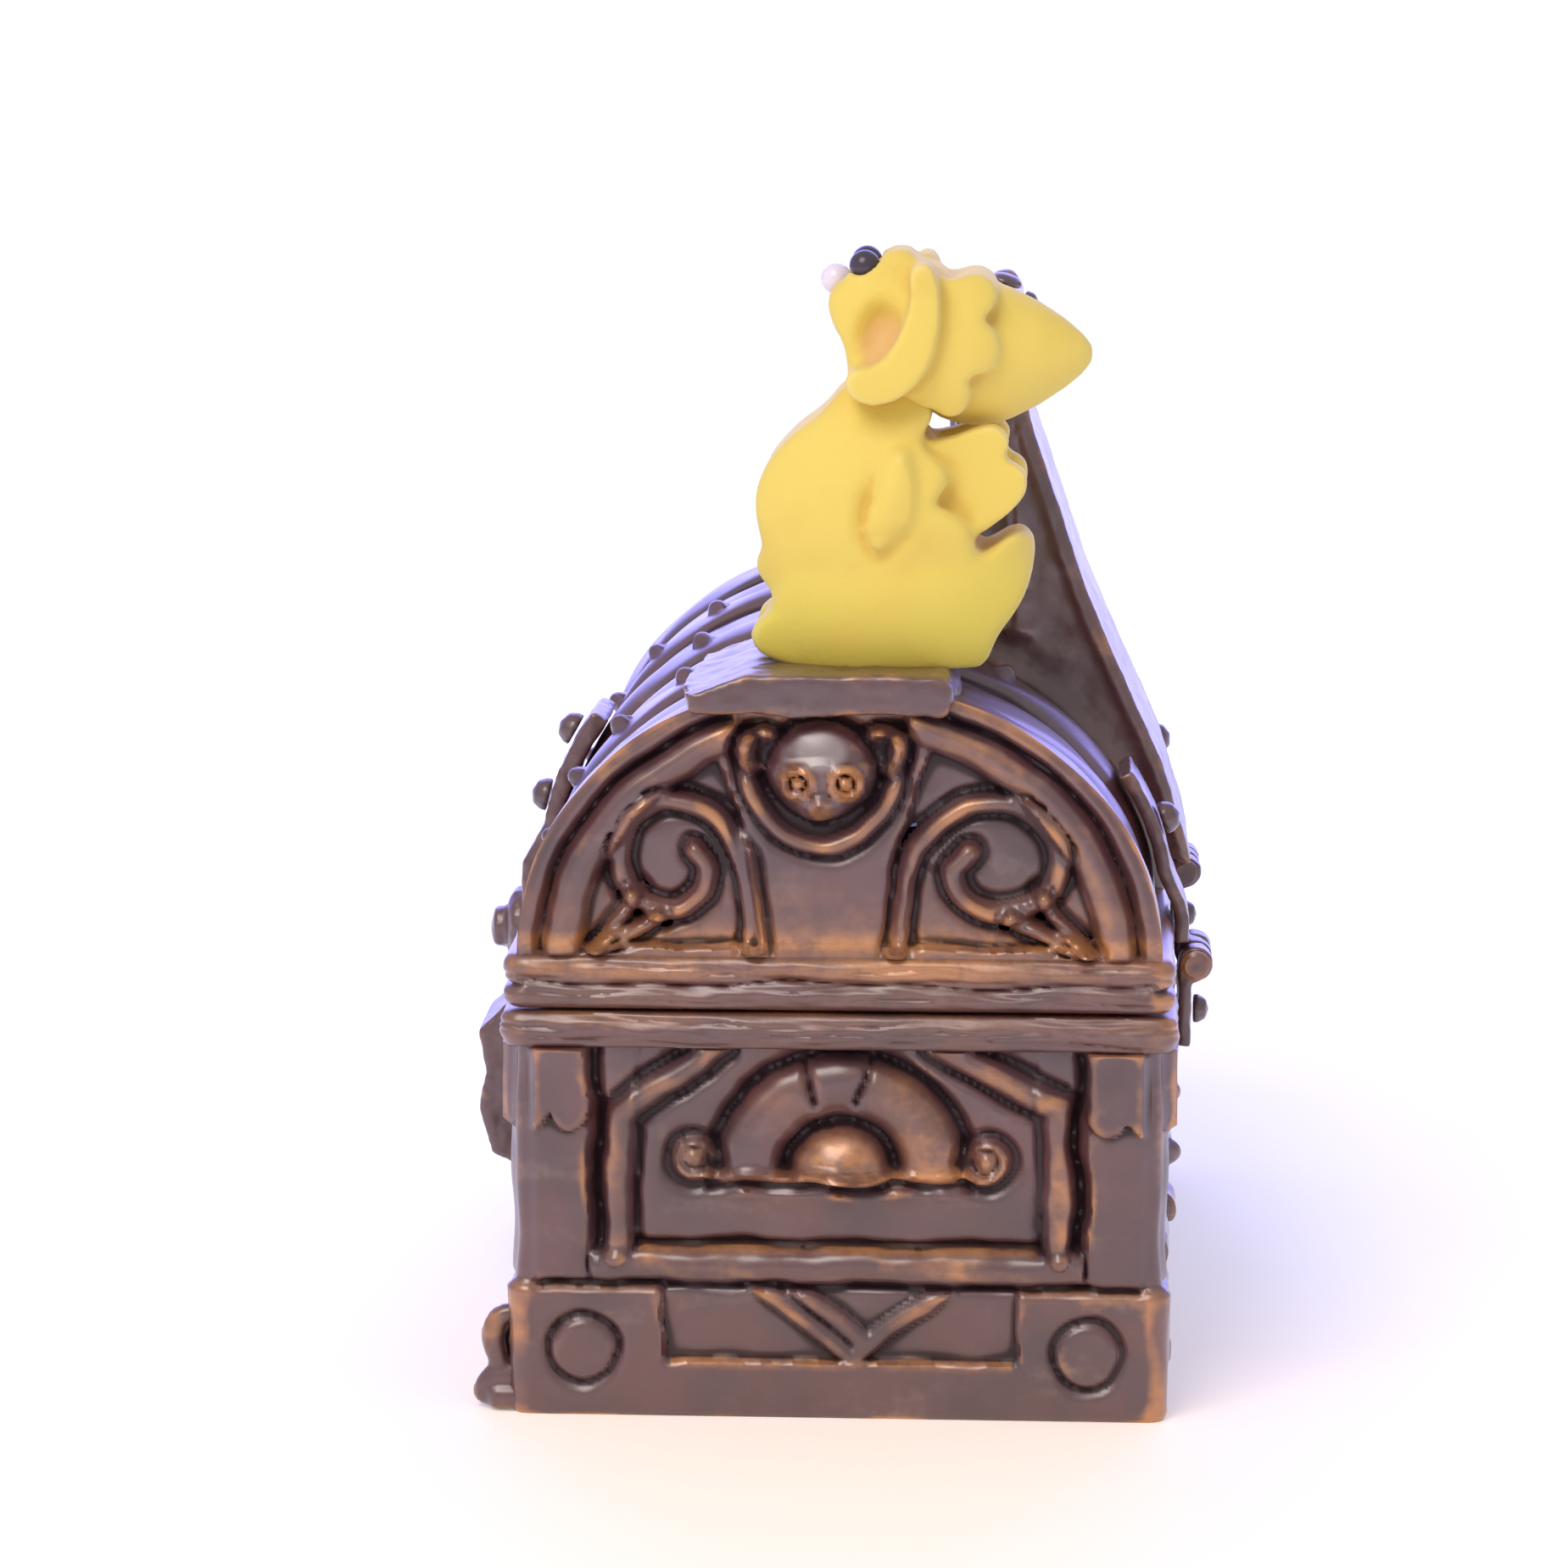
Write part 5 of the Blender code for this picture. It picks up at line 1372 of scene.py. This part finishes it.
def creature_paint(colours):
    """Matte yellow with warm patches; painted shade makes it greener below and warmer in its creases, and painted
    highlight pales its edges.
    """
    material = bpy.data.materials.new("creature_paint")
    material.use_nodes = True
    tree = Tree(material.node_tree)
    shader = material.node_tree.nodes["Principled BSDF"]
    coordinates = tree.add("ShaderNodeTexCoord").outputs["Object"]
    relief = tree.add("ShaderNodeAttribute", attribute_name="relief").outputs["Fac"]
    blush = tree.add("ShaderNodeAttribute", attribute_name="blush").outputs["Fac"]
    height = tree.add("ShaderNodeSeparateXYZ", {"Vector": coordinates}).outputs["Z"]
    cloud = tree.noise(coordinates, 110.0, 3.0)
    fine = tree.noise(coordinates, 2400.0, 2.0)
    # Painted shade: greener and darker towards the underside.
    low = tree.between(tree.math("MULTIPLY_ADD", cloud, 0.008, height), 0.0765, 0.0925, 0.75, 0.0)
    colour = tree.mix(low, solid(colours.yellow), solid(colours.green))
    colour = tree.mix(tree.between(cloud, 0.5, 0.75, 0.0, 0.35), colour, solid(colours.warm_tone_and_crease_shade))
    # Painted shade in the creases.
    colour = tree.mix(tree.between(tree.math("MULTIPLY", relief, -1.0), 0.02, 0.35, 0.0, 0.95), colour,
                      solid(colours.warm_tone_and_crease_shade))
    # Painted highlight on raised edges.
    colour = tree.mix(tree.between(relief, 0.25, 0.8, 0.0, 0.35), colour, solid(colours.painted_highlight))
    colour = tree.mix(tree.math("MULTIPLY", blush, 0.75), colour, solid(colours.blush))
    links = material.node_tree.links
    links.new(colour, shader.inputs["Base Color"])
    links.new(tree.between(fine, 0.3, 0.7, 0.62, 0.74), shader.inputs["Roughness"])
    grain = tree.math("MULTIPLY_ADD", cloud, 2.0, fine)
    bump = tree.add("ShaderNodeBump", {"Height": grain, "Strength": 0.25, "Distance": 0.00012})
    links.new(bump.outputs[0], shader.inputs["Normal"])
    shader.inputs["Subsurface Weight"].default_value = 0.12
    shader.inputs["Subsurface Radius"].default_value = (0.004, 0.0025, 0.0008)
    shader.inputs["Sheen Weight"].default_value = 0.15
    return material


def plain_finish(name, colour, dark, roughness, metallic=0.0, scale=300.0, bump_mm=0.05, **extra):
    """A material whose colour and gloss vary a little over the surface."""
    material = bpy.data.materials.new(name)
    material.use_nodes = True
    tree = Tree(material.node_tree)
    shader = material.node_tree.nodes["Principled BSDF"]
    coordinates = tree.add("ShaderNodeTexCoord").outputs["Object"]
    broad = tree.noise(coordinates, scale, 4.0)
    fine = tree.noise(coordinates, scale * 8, 3.0)
    links = material.node_tree.links
    mottled = tree.mix(tree.between(broad, 0.35, 0.7), solid(colour), solid(dark))
    links.new(mottled, shader.inputs["Base Color"])
    links.new(tree.between(fine, 0.25, 0.75, roughness * 0.8, roughness * 1.2), shader.inputs["Roughness"])
    height = tree.math("MULTIPLY_ADD", broad, 1.5, fine)
    bump = tree.add("ShaderNodeBump", {"Height": height, "Strength": 0.5, "Distance": bump_mm * MM})
    links.new(bump.outputs[0], shader.inputs["Normal"])
    shader.inputs["Metallic"].default_value = metallic
    for label, value in extra.items():
        shader.inputs[label.replace("_", " ")].default_value = value
    return material


def finish_table():
    """The finishes of the small and inner pieces, by slot."""
    colours = bpy.context.scene.chest_colours
    return {
        "bead_black": lambda: plain_finish("bead_black", (0.012, 0.008, 0.022), (0.03, 0.02, 0.05), 0.12,
                                           scale=200, bump_mm=0.004, Coat_Weight=1.0),
        "bead_lilac": lambda: plain_finish("bead_lilac", (0.62, 0.47, 0.70), (0.70, 0.58, 0.78), 0.25,
                                           scale=200, bump_mm=0.004, Coat_Weight=0.6),
        "grey_plastic": lambda: plain_finish("grey_plastic", (0.035, 0.037, 0.04), (0.05, 0.052, 0.055), 0.42),
        "air_hose": lambda: plain_finish("air_hose", (0.36, 0.55, 0.52), (0.30, 0.48, 0.46), 0.3, bump_mm=0.01,
                                         Transmission_Weight=0.5),
        "stone_blue": lambda: plain_finish("stone_blue", (0.07, 0.17, 0.36), (0.03, 0.08, 0.20), 0.95,
                                           scale=1400, bump_mm=0.25),
        "ballast_iron": lambda: plain_finish("ballast_iron", (0.035, 0.034, 0.034), (0.06, 0.045, 0.035), 0.6,
                                             metallic=0.7, scale=700, bump_mm=0.12),
        "treasure_gold": lambda: plain_finish("treasure_gold", tuple(colours.gold), (0.50, 0.25, 0.05), 0.28,
                                              metallic=0.85, scale=500, bump_mm=0.05),
        "steel": lambda: plain_finish("steel", (0.56, 0.56, 0.57), (0.40, 0.40, 0.42), 0.3, metallic=1.0,
                                      scale=600, bump_mm=0.02),
        "clear_plastic": lambda: plain_finish("clear_plastic", (0.80, 0.88, 0.90), (0.74, 0.84, 0.88), 0.1,
                                              scale=200, bump_mm=0.006, Transmission_Weight=0.85, IOR=1.49),
        "bronze_brown": lambda: painted("plain_shell", colours, 0.5),
    }


def finish_of(slot):
    """The finish of a slot, made once."""
    name = "plain_shell" if slot == "bronze_brown" else slot
    return bpy.data.materials.get(name) or finish_table()[slot]()


def dress(node, slot):
    """Gives a CAD node that stays its finish."""
    materials = frame["nodes"][node].data.materials
    materials.clear()
    materials.append(finish_of(slot))


def floor_finish(stage):
    """A pale floor with painted warm bounce light close to the chest."""
    material = bpy.data.materials.new("floor")
    material.use_nodes = True
    tree = Tree(material.node_tree)
    shader = material.node_tree.nodes["Principled BSDF"]
    place_vector = tree.add("ShaderNodeTexCoord").outputs["Object"]
    # Painted bounce light: a warm tint that fades with distance from the chest.
    away = tree.add("ShaderNodeVectorMath", {0: place_vector, 1: (0.0, -0.10, 0.0)}, operation="DISTANCE")
    share = tree.between(away.outputs["Value"], 0.03, 0.13)
    colour = tree.mix(share, solid(stage.painted_bounce), solid(stage.floor))
    material.node_tree.links.new(colour, shader.inputs["Base Color"])
    shader.inputs["Roughness"].default_value = 0.8
    shader.inputs["Specular IOR Level"].default_value = 0.2
    shader.inputs["Emission Color"].default_value = (1, 1, 1, 1)
    shader.inputs["Emission Strength"].default_value = 0.26
    return material


# --- Operators ---


class ChestPiece:
    """What the operators share."""

    bl_options = {"REGISTER", "UNDO"}

    def execute(self, context):
        self.build(context.scene.chest_sizes, context.scene.chest_colours)
        return {"FINISHED"}


class CHEST_OT_box(ChestPiece, bpy.types.Operator):
    """Build the carved and painted box"""

    bl_idname = "chest.box"
    bl_label = "Box"

    def build(self, sizes, colours):
        mesh = painted_box(sizes)
        places = positions(mesh)
        on_end = np.abs(places[:, 1]) > BODY_HALF[1] - 2.0
        mark(mesh, "gilt_and_highlight", box_gilt_and_highlight(places[:, 0], places[:, 2]) * on_end)
        piece("painted_box", mesh, painted("box_paint", colours), "chest", ["box_shell"])


class CHEST_OT_lid(ChestPiece, bpy.types.Operator):
    """Build the ribbed lid with its carved ends"""

    bl_idname = "chest.lid"
    bl_label = "Lid"

    def build(self, sizes, colours):
        mesh = painted_lid(sizes)
        places = positions(mesh)
        on_end = np.abs(places[:, 1]) > VAULT_END - 1.9
        (x, z), (wide, tall) = BROW_PATCH
        patch = ramp(1.0 - np.hypot((places[:, 0] - x) / wide, (places[:, 2] - z) / tall), 0, 0.35)
        mark(mesh, "pale", patch * on_end * 0.5)
        mark(mesh, "gilt_and_highlight", lid_gilt_and_highlight(places[:, 0], places[:, 2]) * on_end)
        material = painted("lid_paint", colours, pale=True)
        lid = piece("painted_lid", mesh, material, "lid", ["lid_shell"])
        hold_back(lid.data, ~on_end, 0.1, 1.0)


class CHEST_OT_mouldings(ChestPiece, bpy.types.Operator):
    """Build the rolled mouldings that meet at the seam"""

    bl_idname = "chest.mouldings"
    bl_label = "Mouldings"

    def build(self, sizes, colours):
        material = painted("moulding_paint", colours)
        half = (LID_HIGH.x - 1.0, LID_HIGH.y - 1.0)
        mesh = moulding(sizes, half, LID_LOW.z, LID_RIM_TOP, 2, 3.2, 0.75)
        piece("lid_moulding", mesh, material, "lid", ["lid_shell"])
        half = (SHELL_HIGH.x - 1.0, SHELL_HIGH.y - 1.0)
        mesh = moulding(sizes, half, RIM_FOOT, BOX_TOP, 1, 4.0, 0.3)
        piece("box_moulding", mesh, material, "chest", ["box_shell"])


class CHEST_OT_saddle(ChestPiece, bpy.types.Operator):
    """Build the block that the creature sits on"""

    bl_idname = "chest.saddle"
    bl_label = "Saddle"

    def build(self, sizes, colours):
        material = painted("saddle_paint", colours, 0.8)
        piece("carved_saddle", saddle(sizes), material, "lid", ["saddle_plate"])


class CHEST_OT_panel(ChestPiece, bpy.types.Operator):
    """Build the tall back panel and its trim"""

    bl_idname = "chest.panel"
    bl_label = "Back panel"

    def build(self, sizes, colours):
        material = painted("panel_paint", colours, 0.9)
        piece("carved_panel", panel(sizes), material, "lid", ["back_panel"])
        for node in ("panel_rivet_1", "panel_rivet_2", "panel_finial"):
            mesh = moulded_copy(node, sizes.trim_voxel * 0.8, 0.03)
            piece("moulded_" + node, mesh, material, "lid", [node], 5)


class CHEST_OT_hardware(ChestPiece, bpy.types.Operator):
    """Build the hasp, lock, hinges and their studs"""

    bl_idname = "chest.hardware"
    bl_label = "Hasp, lock and hinges"

    def build(self, sizes, colours):
        material = painted("hardware_paint", colours, 1.0)
        on_lid = ["hasp_strap", "hasp_rivet_1", "hasp_rivet_2", "hinge_leaf_upper_1", "hinge_leaf_upper_2",
                  "hinge_rivet_upper_1", "hinge_rivet_upper_2"]
        on_box = ["lock_case", "hinge_leaf_lower_1", "hinge_leaf_lower_2", "hinge_rivet_lower_1",
                  "hinge_rivet_lower_2"]
        for body, nodes in (("lid", on_lid), ("chest", on_box)):
            for node in nodes:
                small = "rivet" in node
                fineness, wobble, softness, reach = (0.75, 0.03, 3, 5) if small else (1.1, 0.12, 9, 8)
                mesh = moulded_copy(node, sizes.trim_voxel * fineness, wobble, softness)
                piece("moulded_" + node, mesh, material, body, [node], reach)
        for node in ("hinge_pin_1", "hinge_pin_2"):
            low, high = node_box(node)
            centre, length = (low + high) / 2, high.y - low.y
            bm = bmesh.new()
            profile = [(0, 0), (1.1, 0), (1.5, 0.3), (1.5, 0.8), (0.8, 0.8), (0.8, length - 0.8),
                       (1.5, length - 0.8), (1.5, length - 0.3), (1.1, length), (0, length)]
            turned(bm, profile, (0, 1, 0), (centre.x, low.y, centre.z), 28)
            piece("turned_" + node, as_mesh(bm), material, "chest", [node], 3, 35)


class CHEST_OT_creature(ChestPiece, bpy.types.Operator):
    """Build the winged creature with its beads"""

    bl_idname = "chest.creature"
    bl_label = "Creature"

    def build(self, sizes, colours):
        material = creature_paint(colours)
        body = creature_body(sizes)
        mark(body, "blush", np.zeros(len(body.vertices)))
        piece("creature_body", body, material, "lid", ["figure_body"], 12, 80)
        head = creature_head(sizes)
        piece("creature_head", head, material, "lid", ["figure_head"], 12, 80)
        slots = {"eye_bead_near": "bead_black", "eye_bead_far": "bead_black", "nose_bead": "bead_lilac"}
        for node, slot in slots.items():
            piece("glossy_" + node, bead(node), finish_of(slot), "lid", [node], 0, 80)


class CHEST_OT_treasure(ChestPiece, bpy.types.Operator):
    """Heap the coins on the deck"""

    bl_idname = "chest.treasure"
    bl_label = "Treasure"

    def build(self, sizes, colours):
        for seed, node in enumerate(("coin_heap_near", "coin_heap_far")):
            mesh = coins(node, sizes, 11 + seed)
            piece("loose_" + node, mesh, finish_of("treasure_gold"), "chest", [node], 0, 35)
        dress("treasure_deck", "bronze_brown")


class CHEST_OT_insides(ChestPiece, bpy.types.Operator):
    """Build the air line, the cup, the weights and the screws"""

    bl_idname = "chest.insides"
    bl_label = "Insides"

    def build(self, sizes, colours):
        piece("porous_stone", stone(), finish_of("stone_blue"), "chest", ["air_stone"], 0)
        piece("clear_cup", cup(), finish_of("clear_plastic"), "lid", ["bubble_cup"], 0, 35)
        plastic = finish_of("grey_plastic")
        piece("inlet_barb", barb(), plastic, "chest", ["air_inlet_barb"], 0, 35)
        piece("soft_hose", hose(), finish_of("air_hose"), "chest", ["air_hose"], 0)
        for node, members in frame["record"]["behaviour"]["bodies"].items():
            for name in members:
                if "screw" in name:
                    mesh = crossed_screw(name)
                    piece("crossed_" + name, mesh, finish_of("steel"), node, [name], 0, 30)
        for node, slot in (("stone_cradle", "grey_plastic"), ("inlet_nut", "grey_plastic"),
                           ("ballast_bar_front", "ballast_iron"), ("ballast_bar_back", "ballast_iron"),
                           ("lid_trim_weight", "steel"), ("base_plate", "bronze_brown")):
            dress(node, slot)


class CHEST_OT_stage(bpy.types.Operator):
    """Lay the floor, hang the lights and set the camera"""

    bl_idname = "chest.stage"
    bl_label = "Stage"

    def execute(self, context):
        stage = context.scene.chest_stage
        bm = bmesh.new()
        bmesh.ops.create_grid(bm, x_segments=1, y_segments=1, size=FLOOR_HALF)
        floor = work_object(bm, "floor")
        floor.data.materials.append(floor_finish(stage))
        world = bpy.data.worlds.new("surroundings")
        world.use_nodes = True
        tree = Tree(world.node_tree)
        background = world.node_tree.nodes["Background"]
        direction = tree.add("ShaderNodeTexCoord").outputs["Generated"]
        ahead = tree.add("ShaderNodeSeparateXYZ", {"Vector": direction}).outputs["Y"]
        dome = tree.mix(tree.between(ahead, 0.1, 0.9), solid(stage.sky), solid(stage.dusk))
        seen = tree.add("ShaderNodeLightPath").outputs["Is Camera Ray"]
        world.node_tree.links.new(tree.mix(seen, dome, (1, 1, 1, 1)), background.inputs["Color"])
        background.inputs["Strength"].default_value = stage.sky_strength
        context.scene.world = world
        dusk = tuple(stage.dusk)
        self.light(context, "back_light", BACK_LIGHT_SPOT, BACK_LIGHT_SIZE, stage.back_power, dusk)
        self.light(context, "key_light", KEY_LIGHT_SPOT, KEY_LIGHT_SIZE, stage.key_power, KEY_LIGHT_COLOUR)
        camera = bpy.data.objects.new("camera", bpy.data.cameras.new("camera"))
        camera.data.lens = CAMERA_LENS
        camera.location = CAMERA_SPOT
        camera.rotation_euler = Vector(CAMERA_AIM).to_track_quat("-Z", "Y").to_euler()
        context.scene.collection.objects.link(camera)
        context.scene.camera = camera
        context.scene.view_settings.view_transform = "Standard"
        return {"FINISHED"}

    def light(self, context, name, spot, size, power, colour):
        data = bpy.data.lights.new(name, "AREA")
        data.size = size
        data.energy = power
        data.color = colour
        lamp = bpy.data.objects.new(name, data)
        lamp.location = spot
        lamp.visible_camera = False
        aim = Vector((0, 0, 0.06)) - Vector(spot)
        lamp.rotation_euler = aim.to_track_quat("-Z", "Y").to_euler()
        context.scene.collection.objects.link(lamp)


class CHEST_PT_panel(bpy.types.Panel):
    """The chest's operators in the sidebar"""

    bl_label = "Bubbling chest"
    bl_space_type = "VIEW_3D"
    bl_region_type = "UI"
    bl_category = "Chest"

    def draw(self, context):
        for operator in OPERATORS:
            self.layout.operator(operator.bl_idname)


SETTINGS = {"chest_sizes": ChestSizes, "chest_colours": ChestColours, "chest_stage": StageSettings}
OPERATORS = (CHEST_OT_stage, CHEST_OT_box, CHEST_OT_lid, CHEST_OT_mouldings, CHEST_OT_saddle, CHEST_OT_panel,
             CHEST_OT_hardware, CHEST_OT_creature, CHEST_OT_treasure, CHEST_OT_insides)


def register():
    for cls in (*SETTINGS.values(), *OPERATORS, CHEST_PT_panel):
        bpy.utils.register_class(cls)
    for name, cls in SETTINGS.items():
        setattr(bpy.types.Scene, name, PointerProperty(type=cls))


def unregister():
    for name in SETTINGS:
        delattr(bpy.types.Scene, name)
    for cls in (CHEST_PT_panel, *OPERATORS[::-1], *SETTINGS.values()):
        bpy.utils.unregister_class(cls)


def main():
    for name in ("Cube", "Light", "Camera"):
        if name in bpy.data.objects:
            bpy.data.objects.remove(bpy.data.objects[name])
    register()
    for operator in OPERATORS:
        group, name = operator.bl_idname.split(".")
        getattr(getattr(bpy.ops, group), name)()


if __name__ == "__main__":
    main()
